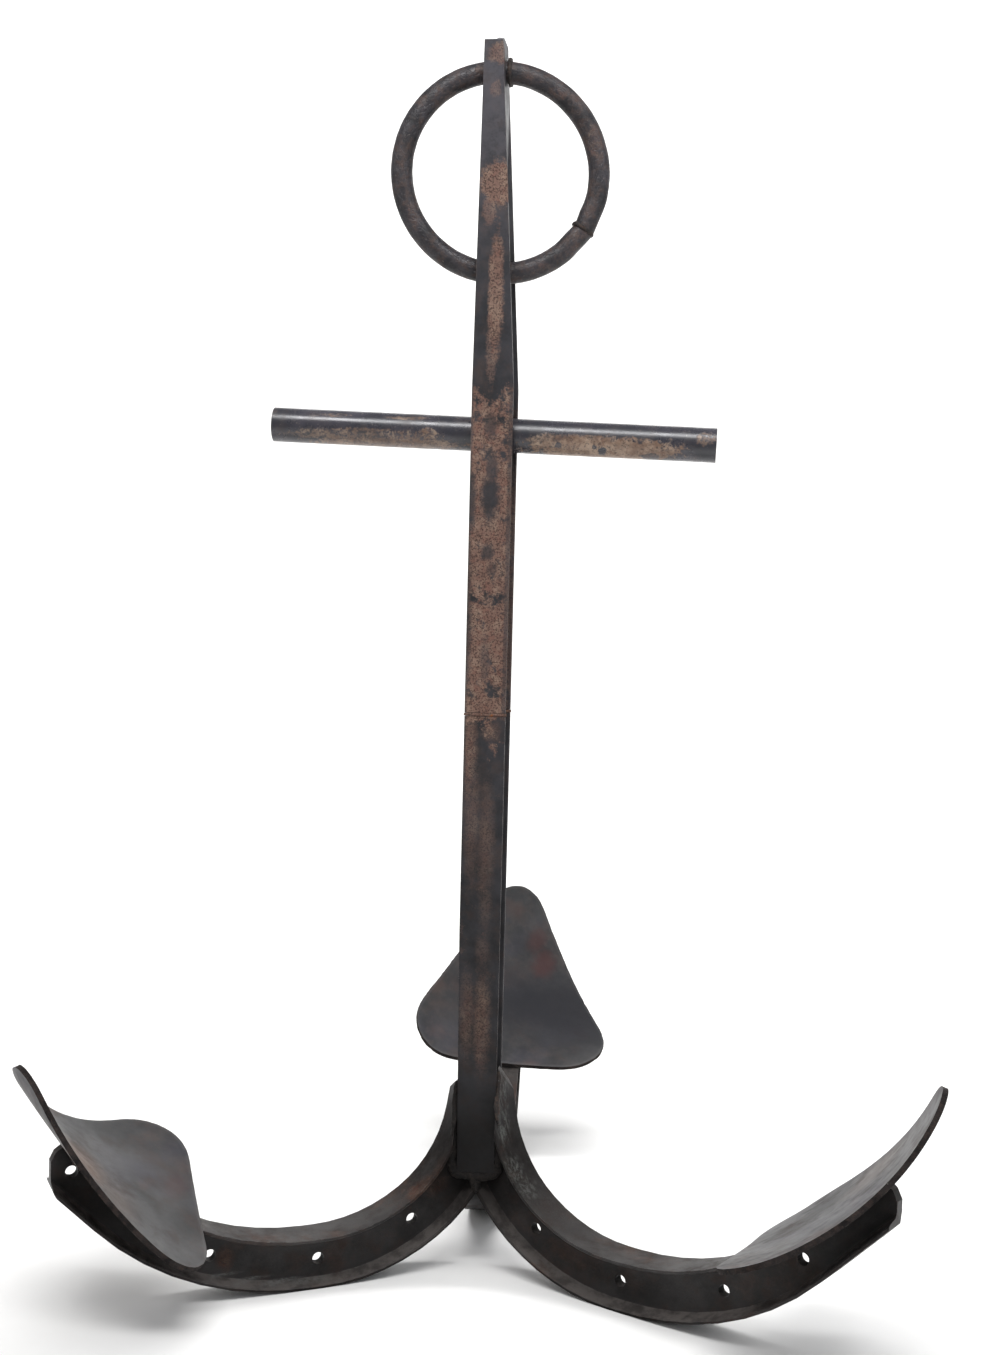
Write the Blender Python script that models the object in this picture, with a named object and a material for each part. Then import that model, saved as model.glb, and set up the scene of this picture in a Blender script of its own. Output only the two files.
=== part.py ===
"""A three-armed anchor welded up from joist, pipe and plate, standing on its three soles.

Metres, +Z up. The shank is upright. Two arms reach forward, to the left and the right, and one reaches back.
Each arm and fluke is modelled pointing along +X, and then turned about Z to its own direction.
"""

import math

import bmesh
import bpy
from mathutils import Matrix, Vector

# ---------------------------------------------------------------- driving dimensions, in metres and degrees
GAP = 0.0003  # left between pieces that meet
SMOOTH_BELOW = math.radians(32.0)  # faces that meet at less than this are shaded as one surface

# The joist that the shank and the arms are made of: an I section with tapered flanges.
FLANGE_WIDTH = 0.062
JOIST_DEPTH = 0.075
WEB_THICKNESS = 0.016
FLANGE_TOE = 0.005
FLANGE_ROOT = 0.009
ROOT_RADIUS = 0.005
TOE_CHAMFER = 0.0015

# The shank: two lengths of joist, with their flanges to the front and the back, butt welded end to end.
SHANK_FOOT = 0.149
FOOT_TRIM = 0.0045  # the left edges are dressed back by this much at the foot
FOOT_TRIM_START = 0.52
SPLICE_HEIGHT = 0.853
SPLICE_THICKNESS = 0.005
SPLICE_PROUD = 0.0014
SHANK_TOP_FRONT = 1.843
SHANK_TOP_REAR = 1.867
TAPER_START = 1.341
TOP_LEFT_EDGE = -0.0243
TOP_RIGHT_EDGE = 0.003
TOP_CORNER = 0.008
TOP_SPARE = 0.02  # blank length above the slanting cut

# The stock: an open pipe through the web.
STOCK_RADIUS = 0.0258
STOCK_WALL = 0.004
STOCK_HEIGHT = 1.272
STOCK_LEFT = 0.337
STOCK_RIGHT = 0.332
STOCK_DROOP = 1.64
PIPE_SIDES = 40

# The ring: a closed round bar through two holes in the web.
RING_RADIUS = 0.147
RING_BAR_RADIUS = 0.0164
RING_HEIGHT = 1.658
RING_TURN = 10.0
RING_SEAM = -32.0  # where its ends are welded together
RING_STEPS = 56
BAR_SIDES = 12
HOLE_CLEARANCE = 0.0008
HOLE_DEPTH = 0.1
HOLE_SIDES = 32

# The arms: joist bent in the plane of its web. A bend is a radius and a turn; angles are from straight down.
ARM_DIRECTION = {"left": 209.0, "right": -30.0, "rear": 92.4}
ARM_END = {"left": 0.655, "right": 0.693, "rear": 0.674}
CROWN_OFFSET = 0.004  # the arms meet a little to the right of the shank's axis
ARM_LEAD_IN = 0.095  # straight, up beside the shank
HEAD_CUTS = {"left": (0.283, 47.0), "right": (0.308, 60.0)}  # height at the shank's edge, and slant
REAR_CLEARANCE = 0.012  # the rear arm's flange and web stop at the shank's back
HEAD_ZONE = 0.16  # the slanting cuts touch only what is this near the crown
ARM_START_REACH = 0.0079
ARM_START_ANGLE = 10.0
CROWN_BEND = (0.2245, 45.0)
SOLE_BEND = (0.275, 35.0)
SOLE_LENGTH = 0.020
RISE_BEND = (0.4356, 15.0)
TOE_BEND = (0.4019, 30.2)
ARM_TAIL = 0.22
TOE_UPPER_ROUND = {"left": 0.030, "right": 0.034, "rear": 0.026}
TOE_LOWER_ROUND = {"left": 0.024, "right": 0.076, "rear": 0.035}
TOE_SKEW = {"right": (1.0, 0.95, -0.25)}  # which way the saw cut across the lower flange faces
TOE_SKEW_RISE = 0.014
TOE_ZONE = 0.22  # the rounding cuts touch only this last stretch
WEB_HOLE_RADIUS = 0.009
WEB_HOLE_DEPTH = 0.03
WEB_HOLE_SIDES = 16
SHANK_SPACE_FRONT = 0.2
SHANK_SPACE_TOP = 0.6
WEB_HOLES = {
    "left": (0.191, 0.347, 0.515, 0.647, 0.767),
    "right": (0.194, 0.354, 0.530, 0.674),
    "rear": (0.194, 0.355, 0.530, 0.660),
}

# The flukes: torch-cut by hand from plate to much the same outline, then bent, each a little differently.
PLATE_THICKNESS = 0.008
PLATE_ROWS = 22
PLATE_COLUMNS = 8
FLUKE_BASE = 0.449
FLUKE_TIP_RADIUS = 0.0636
FLUKE_HEEL_RADIUS = 0.0785
FLUKES = {
    "left": {
        "length": 0.443,  # from the base edge to where the sides would meet
        "start": 0.556,  # how far along the arm the base edge lies
        "lift": 0.0038,  # the plate's middle stands this much clear of the arm there
        "shift": -0.028,  # sideways, towards the arm's left
        "turn": 3.9,  # in the plane of the plate
        "pitch": -2.6,  # nose down from the arm's own direction
        "bends": (0.41, 2.85, 2.86, 2.89),  # lengthwise, per metre, every 0.15 m from the base edge
        "dish": (0.62, 1.26),  # crosswise, per metre, at the base and towards the tip
        "roll": (-20.6, 15.6),  # at the base and towards the tip
    },
    "right": {
        "length": 0.467,
        "start": 0.613,
        "lift": 0.0038,
        "shift": -0.050,
        "turn": 15.2,
        "pitch": -3.3,
        "bends": (0.10, 1.72, 2.38, 2.85),
        "dish": (0.66, 0.87),
        "roll": (-0.5, 22.7),
    },
    "rear": {
        "length": 0.466,
        "start": 0.636,
        "lift": 0.0049,
        "shift": -0.010,
        "turn": 0.0,
        "pitch": -4.1,
        "bends": (0.26, 1.87, 2.94, 2.91),
        "dish": (0.92, 0.25),
        "roll": (5.1, 38.6),
    },
}
BEND_SPACING = 0.15
ROLL_LENGTH = 0.42  # the dish and the roll reach their second value this far from the base edge
BED_MARGIN = 0.10  # the bed runs on this far beyond the plate
BED_STEP = 0.01
SEAT_CLEARANCE = 0.05
SEAT_GAP = 0.0008  # hand fitting leaves a little more under the plates

# The weld beads: a radius for each kind, and the corners that the beads at the crown turn at.
BEAD_SIDES = 8
BEAD_STEP = 0.009
BEAD_END = 0.5  # how thick a bead is at its ends, against its middle
COLLAR_STEPS = 20
OFF_BAR = 0.4  # how far a bead's middle stands off the bar it goes round, in bead radii
OFF_WEB = 0.6  # and off the web beside it
SEAM_SUNK = 0.3  # how deep the ring's closing bead lies in the bar
RING_BEAD = 0.0040
SEAM_BEAD = 0.0040
STOCK_BEAD = 0.0045
STOCK_BEAD_STEPS = 8
STOCK_BEAD_SPREAD = 0.9
HEAD_BEAD = 0.0055
HEAD_BEADS = {
    "left": (
        (-0.0315, -0.0385, 0.180),
        (-0.0315, -0.0385, 0.226),
        (-0.0325, -0.0250, 0.254),
        (-0.0325, -0.0130, 0.283),
    ),
    "right": (
        (0.0325, -0.0385, 0.205),
        (0.0325, -0.0385, 0.254),
        (0.0325, -0.0300, 0.280),
        (0.0325, -0.0210, 0.305),
    ),
    "rear": (
        (-0.0300, 0.0385, 0.215),
        (-0.0290, 0.0385, 0.278),
        (0.0310, 0.0385, 0.278),
        (0.0325, 0.0385, 0.215),
    ),
}
SEAMS = {"front": ("left", "right"), "left": ("left", "rear"), "right": ("right", "rear")}
SEAM_PATH = (  # distance out from the crown, and height
    (0.0260, 0.1395),
    (0.0340, 0.1335),
    (0.0385, 0.1250),
    (0.0350, 0.1160),
    (0.0250, 0.1225),
    (0.0120, 0.1325),
)
FILLET = 0.006
FILLET_INSET = 0.012  # the fillets stop this far short of the arm's end and of the plate's edge
FILLET_STEP = 0.0135
FILLET_DROP = 0.2  # under the plate, in bead radii
FILLET_OUT = 0.3  # and out from the edge of the flange, or from the web
EDGE_STEP = 0.001  # how finely the edge is looked for
HALVINGS = 30


# ---------------------------------------------------------------- materials
def steel(name, colour, roughness, metallic):
    """A plain Principled material."""
    material = bpy.data.materials.new(name)
    material.use_nodes = True
    shader = material.node_tree.nodes["Principled BSDF"]
    shader.inputs["Base Color"].default_value = (*colour, 1.0)
    shader.inputs["Roughness"].default_value = roughness
    shader.inputs["Metallic"].default_value = metallic
    return material


# ---------------------------------------------------------------- helpers
def place(name, mesh, parent, material):
    """Put a mesh in the scene as one named object."""
    obj = bpy.data.objects.new(name, mesh)
    bpy.context.scene.collection.objects.link(obj)
    obj.parent = parent
    mesh.materials.clear()
    if material:
        mesh.materials.append(material)
    return obj


def pivot(name, parent=None, location=(0.0, 0.0, 0.0), rotation=(0.0, 0.0, 0.0)):
    """An empty that carries other objects; the rotation is in degrees."""
    empty = bpy.data.objects.new(name, None)
    bpy.context.scene.collection.objects.link(empty)
    empty.parent = parent
    empty.location = location
    empty.rotation_euler = [math.radians(angle) for angle in rotation]
    return empty


def to_mesh(name, bm):
    """Turn a bmesh into a mesh with its faces pointing out, smooth but for its sharp edges."""
    bmesh.ops.recalc_face_normals(bm, faces=bm.faces)
    mesh = bpy.data.meshes.new(name)
    bm.to_mesh(mesh)
    bm.free()
    mesh.shade_smooth()
    mesh.set_sharp_from_angle(angle=SMOOTH_BELOW)
    return mesh


def loft(rings, closed=False):
    """Skin a row of rings of points. An open row gets a face over each end."""
    bm = bmesh.new()
    loops = [[bm.verts.new(point) for point in ring] for ring in rings]
    pairs = list(zip(loops, loops[1:]))
    if closed:
        pairs.append((loops[-1], loops[0]))
    for near, far in pairs:
        for i in range(len(near)):
            j = (i + 1) % len(near)
            bm.faces.new((near[i], near[j], far[j], far[i]))
    if not closed:
        bm.faces.new(loops[0])
        bm.faces.new(loops[-1])
    return bm


def cut(bm, point, normal, nearest=-math.inf, furthest=math.inf):
    """Saw off what lies outside a plane, where X is between the two limits, and close the cut."""
    many_sided = [face for face in bm.faces if len(face.verts) > 4]
    bmesh.ops.triangulate(bm, faces=many_sided)
    verts = {vert for vert in bm.verts if nearest < vert.co.x < furthest}
    edges = [edge for edge in bm.edges if verts.issuperset(edge.verts)]
    faces = [face for face in bm.faces if verts.issuperset(face.verts)]
    result = bmesh.ops.bisect_plane(
        bm,
        geom=[*verts, *edges, *faces],
        dist=1e-6,
        plane_co=point,
        plane_no=normal,
        clear_outer=True,
    )
    section = [item for item in result["geom_cut"] if isinstance(item, bmesh.types.BMEdge)]
    bmesh.ops.edgeloop_fill(bm, edges=section)


def bake(obj):
    """Replace an object's mesh with the result of its modifiers."""
    bpy.context.view_layer.update()
    graph = bpy.context.evaluated_depsgraph_get()
    mesh = bpy.data.meshes.new_from_object(obj.evaluated_get(graph))
    obj.modifiers.clear()
    obj.data = mesh


def keep_largest(obj):
    """Drop the crumbs that a cut leaves, and keep the one body."""
    bm = bmesh.new()
    bm.from_mesh(obj.data)
    islands = []
    left = set(bm.faces)
    while left:
        stack = [left.pop()]
        island = []
        while stack:
            face = stack.pop()
            island.append(face)
            for edge in face.edges:
                near = [other for other in edge.link_faces if other in left]
                left.difference_update(near)
                stack.extend(near)
        islands.append(island)
    islands.sort(key=lambda island: sum(face.calc_area() for face in island))
    for island in islands[:-1]:
        bmesh.ops.delete(bm, geom=island, context="FACES")
    bm.to_mesh(obj.data)
    bm.free()


def carve(obj, cutters):
    """Cut other shapes out of an object, and throw the cutters away."""
    for cutter in cutters:
        cutter.display_type = "WIRE"
        cutter.hide_render = True
        modifier = obj.modifiers.new(cutter.name, "BOOLEAN")
        modifier.operation = "DIFFERENCE"
        modifier.object = cutter
    bake(obj)
    for cutter in cutters:
        bpy.data.objects.remove(cutter)
    keep_largest(obj)
    obj.data.set_sharp_from_angle(angle=SMOOTH_BELOW)


def cutter(name, bm, parent, location=(0, 0, 0), rotation=(0, 0, 0)):
    """A shape to cut with; the rotation is in degrees."""
    obj = place(name, to_mesh(name, bm), parent, None)
    obj.location = location
    obj.rotation_euler = [math.radians(angle) for angle in rotation]
    return obj


def cylinder(radius, depth, segments, axis):
    """A closed cylinder along X or Y."""
    bm = bmesh.new()
    turn = Matrix.Rotation(math.radians(90), 4, "Y" if axis == "X" else "X")
    bmesh.ops.create_cone(
        bm, cap_ends=True, segments=segments, radius1=radius, radius2=radius, depth=depth, matrix=turn
    )
    return bm


def box(low, high):
    """A closed box between two corners."""
    bm = bmesh.new()
    bmesh.ops.create_cube(bm, size=1.0)
    for vert in bm.verts:
        vert.co = [b if value > 0 else a for value, a, b in zip(vert.co, low, high)]
    return bm


# ---------------------------------------------------------------- the joist
def joist_section(grow=0.0):
    """The I section as points round it: x across the flanges, y through the depth."""
    half_width = FLANGE_WIDTH / 2
    half_depth = JOIST_DEPTH / 2
    half_web = WEB_THICKNESS / 2 + grow
    slope = (FLANGE_ROOT - FLANGE_TOE) / (half_width - WEB_THICKNESS / 2)

    def inside(x):
        """How far from the middle the flange's inner face lies."""
        return half_depth - FLANGE_TOE - slope * (half_width - x) - grow

    fillet_end = half_web + ROOT_RADIUS
    bow = ROOT_RADIUS * (1 - math.sqrt(0.5))
    quarter = [
        (half_web, inside(half_web) - ROOT_RADIUS),
        (half_web + bow, inside(half_web) - bow),
        (fillet_end, inside(fillet_end)),
        (half_width + grow - TOE_CHAMFER, inside(half_width - TOE_CHAMFER)),
        (half_width + grow, inside(half_width) + TOE_CHAMFER),
        (half_width + grow, half_depth + grow),
    ]
    points = list(quarter)
    points += [(-x, y) for x, y in reversed(quarter)]
    points += [(-x, -y) for x, y in quarter]
    points += [(x, -y) for x, y in reversed(quarter)]
    return points


def joist_length(bottom, top, grow=0.0):
    """A straight upright length of joist."""
    section = joist_section(grow)
    return loft([[(x, y, z) for x, y in section] for z in (bottom, top)])


# ---------------------------------------------------------------- shank
def lower_shape(grow=0.0):
    """The lower length of the shank, or the room it takes with a gap round it."""
    bm = joist_length(SHANK_FOOT - grow, SPLICE_HEIGHT - SPLICE_THICKNESS / 2 - GAP, grow)
    edge = (-FLANGE_WIDTH / 2 - grow, 0, FOOT_TRIM_START)
    cut(bm, edge, (SHANK_FOOT - FOOT_TRIM_START, 0, -FOOT_TRIM))
    return bm


def lower_shank(parent, material):
    return place("shank_lower", to_mesh("shank_lower", lower_shape()), parent, material)


def splice_weld(parent, material):
    """The butt weld stands a little proud of the joist all round."""
    half = SPLICE_THICKNESS / 2
    layers = ((-half, 0.2), (-half / 2, 1.0), (half / 2, 0.9), (half, 0.15))
    rings = []
    for height, bulge in layers:
        rings.append([(x, y, SPLICE_HEIGHT + height) for x, y in joist_section(SPLICE_PROUD * bulge)])
    return place("splice_weld", to_mesh("splice_weld", loft(rings)), parent, material)


def upper_shank(parent, material):
    """The upper length: its edges taper to the top, the top is cut aslant, and its web has three holes."""
    bm = joist_length(SPLICE_HEIGHT + SPLICE_THICKNESS / 2 + GAP, SHANK_TOP_REAR + TOP_SPARE)
    half = FLANGE_WIDTH / 2
    rise = SHANK_TOP_FRONT - TAPER_START
    middle = (SHANK_TOP_FRONT + SHANK_TOP_REAR) / 2
    cut(bm, (half, 0, TAPER_START), (rise, 0, half - TOP_RIGHT_EDGE))
    cut(bm, (-half, 0, TAPER_START), (-rise, 0, half + TOP_LEFT_EDGE))
    cut(bm, (0, 0, middle), (0, SHANK_TOP_FRONT - SHANK_TOP_REAR, JOIST_DEPTH))
    for edge, side in ((TOP_LEFT_EDGE, -1), (TOP_RIGHT_EDGE, 1)):
        for angle in (30.0, 60.0):
            tilt = math.radians(angle)
            normal = Vector((side * math.cos(tilt), 0, math.sin(tilt)))
            centre = Vector((edge - side * TOP_CORNER, 0, middle - TOP_CORNER))
            cut(bm, centre + normal * TOP_CORNER, normal)
    obj = place("shank_upper", to_mesh("shank_upper", bm), parent, material)
    stock_hole = cylinder(STOCK_RADIUS + HOLE_CLEARANCE, HOLE_DEPTH, HOLE_SIDES, "X")
    cutters = [cutter("stock_hole", stock_hole, parent, (0, 0, STOCK_HEIGHT), (0, STOCK_DROOP, 0))]
    for height in (RING_HEIGHT + RING_RADIUS, RING_HEIGHT - RING_RADIUS):
        ring_hole = cylinder(RING_BAR_RADIUS + HOLE_CLEARANCE, HOLE_DEPTH, HOLE_SIDES, "X")
        cutters.append(cutter("ring_hole", ring_hole, parent, (0, 0, height), (0, 0, RING_TURN)))
    carve(obj, cutters)
    return obj


# ---------------------------------------------------------------- stock and ring
def circle(radius, count):
    """Unit steps round a circle, as pairs scaled by the radius."""
    angles = [2 * math.pi * i / count for i in range(count)]
    return [(radius * math.cos(angle), radius * math.sin(angle)) for angle in angles]


def stock(parent, material):
    """An open pipe: the wall's section carried round the axis."""
    outer = circle(STOCK_RADIUS, PIPE_SIDES)
    inner = circle(STOCK_RADIUS - STOCK_WALL, PIPE_SIDES)
    rings = []
    for (outer_y, outer_z), (inner_y, inner_z) in zip(outer, inner):
        rings.append([
            (-STOCK_LEFT, outer_y, outer_z),
            (STOCK_RIGHT, outer_y, outer_z),
            (STOCK_RIGHT, inner_y, inner_z),
            (-STOCK_LEFT, inner_y, inner_z),
        ])
    return place("stock", to_mesh("stock", loft(rings, closed=True)), parent, material)


def torus(major, minor_of, major_steps, minor_steps):
    """A closed round bar about the Y axis; minor_of gives its radius at each step round."""
    rings = []
    for i in range(major_steps):
        angle = 2 * math.pi * i / major_steps
        along = Vector((math.cos(angle), 0, math.sin(angle)))
        ring = [along * (major + a) + Vector((0, b, 0)) for a, b in circle(minor_of(i), minor_steps)]
        rings.append(ring)
    return loft(rings, closed=True)


def ring(parent, material):
    bm = torus(RING_RADIUS, lambda i: RING_BAR_RADIUS, RING_STEPS, BAR_SIDES)
    return place("ring", to_mesh("ring", bm), parent, material)


# ---------------------------------------------------------------- the arms' centreline
class Spine:
    """A centreline in an upright plane, walked forwards: samples of (length, reach, height, angle)."""

    def __init__(self, reach, height, angle, length=0.0):
        self.samples = [(length, reach, height, math.radians(angle))]

    def straight(self, distance, steps=1):
        for _ in range(steps):
            length, reach, height, angle = self.samples[-1]
            step = distance / steps
            reach += step * math.sin(angle)
            height -= step * math.cos(angle)
            self.samples.append((length + step, reach, height, angle))

    def bend(self, radius, turn, steps):
        for _ in range(steps):
            length, reach, height, angle = self.samples[-1]
            turned = angle + math.radians(turn) / steps
            reach += radius * (math.cos(angle) - math.cos(turned))
            height -= radius * (math.sin(turned) - math.sin(angle))
            self.samples.append((length + radius * (turned - angle), reach, height, turned))

    def at(self, length):
        """Reach, height and angle at a length, between the samples on either side of it."""
        for near, far in zip(self.samples, self.samples[1:]):
            if length <= far[0] or far is self.samples[-1]:
                share = (length - near[0]) / (far[0] - near[0])
                return [a + (b - a) * share for a, b in zip(near[1:], far[1:])]


def offset_point(reach, height, angle, across, up):
    """A point off the centreline: up is towards the hollow side of the bend."""
    return Vector((reach + up * math.cos(angle), across, height + up * math.sin(angle)))


def arm_spine():
    """Down from the crown, through the sole, and up to the toe. The sole's underside is at height 0."""
    crown_radius, crown_turn = CROWN_BEND
    sole_radius, sole_turn = SOLE_BEND
    start = math.radians(ARM_START_ANGLE)
    middle = math.radians(ARM_START_ANGLE + crown_turn)
    height = JOIST_DEPTH / 2 + crown_radius * (math.sin(middle) - math.sin(start))
    height += sole_radius * (1.0 - math.sin(middle))
    line = Spine(
        ARM_START_REACH - ARM_LEAD_IN * math.sin(start),
        height + ARM_LEAD_IN * math.cos(start),
        ARM_START_ANGLE,
        -ARM_LEAD_IN,
    )
    line.straight(ARM_LEAD_IN)
    line.bend(crown_radius, crown_turn, 7)
    line.bend(sole_radius, sole_turn, 6)
    line.straight(SOLE_LENGTH)
    line.bend(*RISE_BEND, 3)
    line.bend(*TOE_BEND, 5)
    line.straight(ARM_TAIL)
    return line


# ---------------------------------------------------------------- arms
def arm_blank(side, spine, grow=0.0):
    """An arm's joist, bent and sawn at the crown, or the room it takes with a gap round it."""
    section = joist_section(grow)
    rings = []
    for _, reach, height, angle in spine.samples:
        rings.append([offset_point(reach, height, angle, across, up) for across, up in section])
    bm = loft(rings)
    for other in ARM_DIRECTION:
        if other == side:
            continue
        apart = (ARM_DIRECTION[other] - ARM_DIRECTION[side] + 180) % 360 - 180
        mitre = math.radians(apart / 2)
        turn = math.copysign(1.0, apart)
        normal = Vector((-math.sin(mitre), math.cos(mitre), 0)) * turn
        cut(bm, normal * (grow - GAP / 2), normal)
    if side in HEAD_CUTS:
        saw_head(bm, side, grow)
    return bm


def arm(side, spine, bed, parent, material):
    """One arm: its blank sawn off at the toe, drilled, and trimmed to the shank and to its fluke."""
    bm = arm_blank(side, spine)
    saw_toe(bm, side, spine)
    obj = place(f"arm_{side}", to_mesh(f"arm_{side}", bm), parent, material)
    cutters = []
    for length in WEB_HOLES[side]:
        reach, height, _ = spine.at(length)
        hole = cylinder(WEB_HOLE_RADIUS, WEB_HOLE_DEPTH, WEB_HOLE_SIDES, "Y")
        cutters.append(cutter("web_hole", hole, parent, (reach, 0, height)))
    carve(obj, [*cutters, shank_space(side, parent), seat_cutter(bed, parent)])
    return obj


def saw_toe(bm, side, spine):
    """A plumb cut, a fan of cuts to round off its upper and its lower corner, and one across a flange."""
    reach = ARM_END[side]
    _, tail_reach, tail_height, tail_angle = spine.samples[-1]

    def arc_middle(turn, radius):
        """The middle of the arc that rounds a corner off."""
        inset = math.copysign(JOIST_DEPTH / 2 - radius, turn)
        back = (tail_reach + inset * math.cos(tail_angle) - reach + radius) / math.sin(tail_angle)
        height = tail_height + inset * math.sin(tail_angle) + back * math.cos(tail_angle)
        return Vector((reach - radius, 0, height))

    cut(bm, (reach, 0, 0), (1, 0, 0))
    below = tail_angle - math.pi
    for turn, radius in ((tail_angle, TOE_UPPER_ROUND[side]), (below, TOE_LOWER_ROUND[side])):
        centre = arc_middle(turn, radius)
        for share in (0.2, 0.4, 0.6, 0.8):
            normal = Vector((math.cos(turn * share), 0, math.sin(turn * share)))
            cut(bm, centre + normal * radius, normal, reach - TOE_ZONE)
    if side in TOE_SKEW:
        start = arc_middle(below, 0.0) + Vector((0, WEB_THICKNESS / 2, TOE_SKEW_RISE))
        cut(bm, start, Vector(TOE_SKEW[side]).normalized(), reach - TOE_ZONE)


def saw_head(bm, side, grow):
    """The slanting cut that brings the head of a forward arm down from the shank's edge."""
    height, slant = HEAD_CUTS[side]
    direction = ARM_DIRECTION[side]
    outward = math.copysign(1.0, math.cos(math.radians(direction)))
    tilt = math.radians(slant)
    to_arm = Matrix.Rotation(math.radians(-direction), 3, "Z")
    point = to_arm @ Vector((outward * FLANGE_WIDTH / 2 - CROWN_OFFSET, 0, height))
    normal = to_arm @ Vector((outward * math.sin(tilt), 0, math.cos(tilt)))
    cut(bm, point + normal * grow, normal, furthest=HEAD_ZONE)


def shank_space(side, parent):
    """The room that the shank takes, and all that is straight in front of it."""
    half = FLANGE_WIDTH / 2 + (REAR_CLEARANCE if side == "rear" else GAP)
    space = box((-half, -SHANK_SPACE_FRONT, SHANK_FOOT - GAP), (half, JOIST_DEPTH / 2 + GAP, SHANK_SPACE_TOP))
    return cutter("shank_space", space, parent.parent.parent)


# ---------------------------------------------------------------- flukes
def fluke_half_width(along, length):
    """Half the plate's width at a distance from its base edge: heel arc, straight side, tip arc."""
    lean = math.atan2(FLUKE_BASE / 2, length)
    heel = FLUKE_HEEL_RADIUS
    heel_across = FLUKE_BASE / 2 - heel * (1 + math.sin(lean)) / math.cos(lean)
    tip_centre = length - FLUKE_TIP_RADIUS / math.sin(lean)
    if along < heel * (1 + math.sin(lean)):
        return heel_across + math.sqrt(max(heel**2 - (along - heel) ** 2, 0.0))
    if along < tip_centre + FLUKE_TIP_RADIUS * math.sin(lean):
        return (length - along) * math.tan(lean)
    return math.sqrt(max(FLUKE_TIP_RADIUS**2 - (along - tip_centre) ** 2, 0.0))


def fluke_reach(length):
    """How far the rounded tip reaches from the base edge."""
    lean = math.atan2(FLUKE_BASE / 2, length)
    return length - FLUKE_TIP_RADIUS / math.sin(lean) + FLUKE_TIP_RADIUS


class Bed:
    """The surface that a fluke is bent to: a line that starts over the arm, and a dish and a roll across."""

    def __init__(self, arm_line, shape):
        self.shape = shape
        reach, height, angle = arm_line.at(shape["start"])
        rise = JOIST_DEPTH / 2 + PLATE_THICKNESS / 2 + GAP + shape["lift"]
        base = offset_point(reach, height, angle, 0.0, rise)
        heading = angle + math.radians(shape["pitch"])
        back = Vector((math.sin(heading), 0, -math.cos(heading))) * BED_MARGIN
        line = Spine(base.x - back.x, base.z - back.z, math.degrees(heading), -BED_MARGIN)
        line.straight(BED_MARGIN)
        steps = int((shape["length"] + BED_MARGIN) / BED_STEP)
        for i in range(steps):
            bend = self.lengthwise_bend((i + 0.5) * BED_STEP)
            line.bend(1.0 / bend, math.degrees(bend * BED_STEP), 1)
        self.line = line

    def lengthwise_bend(self, walk):
        """Curvature at a distance from the base edge, between the values given every 0.15 m."""
        bends = self.shape["bends"]
        place_along = min(walk / BEND_SPACING, len(bends) - 1.001)
        index = int(place_along)
        return bends[index] + (bends[index + 1] - bends[index]) * (place_along - index)

    def point(self, walk, across, off=0.0):
        """The point this far along and across; off is out of the plate's middle, towards the hollow side."""
        share = min(max(walk / ROLL_LENGTH, 0.0), 1.1)
        dish, roll = (near + (far - near) * share for near, far in (self.shape["dish"], self.shape["roll"]))
        sweep = across * dish
        side = math.sin(sweep) / dish - off * math.sin(sweep)
        rise = (1 - math.cos(sweep)) / dish + off * math.cos(sweep)
        turn = math.radians(roll)
        reach, height, angle = self.line.at(walk)
        across_out = side * math.cos(turn) - rise * math.sin(turn)
        up_out = side * math.sin(turn) + rise * math.cos(turn)
        return offset_point(reach, height, angle, across_out, up_out)


def plate_on(bed, under, over, margin=0.0):
    """The fluke's outline, grown by a margin, laid on its bed with one skin under it and one over it."""
    length = bed.shape["length"]
    reach = fluke_reach(length)
    turn = math.radians(bed.shape["turn"])
    bm = bmesh.new()
    skins = []
    for off in (under, over):
        grid = []
        for i in range(PLATE_ROWS + 1):
            along = reach * (1 - math.cos(math.pi * i / PLATE_ROWS)) / 2
            half = fluke_half_width(along, length) + margin
            along += margin * (2 * along / reach - 1)
            line = []
            for j in range(PLATE_COLUMNS + 1):
                across = half * (2 * j / PLATE_COLUMNS - 1)
                walk = along * math.cos(turn) - across * math.sin(turn)
                aside = along * math.sin(turn) + across * math.cos(turn) + bed.shape["shift"]
                line.append(bm.verts.new(bed.point(walk, aside, off)))
            grid.append(line)
        skins.append(grid)
    for grid in skins:
        for i in range(PLATE_ROWS):
            for j in range(PLATE_COLUMNS):
                bm.faces.new((grid[i][j], grid[i][j + 1], grid[i + 1][j + 1], grid[i + 1][j]))
    low_rim, high_rim = (rim_of(grid) for grid in skins)
    for i in range(len(low_rim)):
        j = (i + 1) % len(low_rim)
        bm.faces.new((low_rim[i], low_rim[j], high_rim[j], high_rim[i]))
    bmesh.ops.remove_doubles(bm, verts=bm.verts, dist=1e-5)
    return bm


def rim_of(grid):
    """The points round the edge of a grid of points."""
    there = [row[0] for row in grid] + grid[-1][1:]
    back = [row[-1] for row in grid[-2::-1]] + grid[0][-2:0:-1]
    return there + back


def fluke(side, bed, parent, material):
    bm = plate_on(bed, -PLATE_THICKNESS / 2, PLATE_THICKNESS / 2)
    return place(f"fluke_{side}", to_mesh(f"fluke_{side}", bm), parent, material)


def seat_cutter(bed, parent):
    """What is trimmed off the arm so that the plate lies on it."""
    return cutter("seat", plate_on(bed, -PLATE_THICKNESS / 2 - SEAT_GAP, SEAT_CLEARANCE, SEAT_GAP), parent)


# ---------------------------------------------------------------- weld beads
def bumpy(radius, step, seed):
    """A bead's radius from step to step: laid by hand, so never the same twice."""
    return radius * (1 + 0.10 * math.sin(2.3 * step + seed) + 0.07 * math.sin(5.1 * step + 2.7 * seed))


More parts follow.
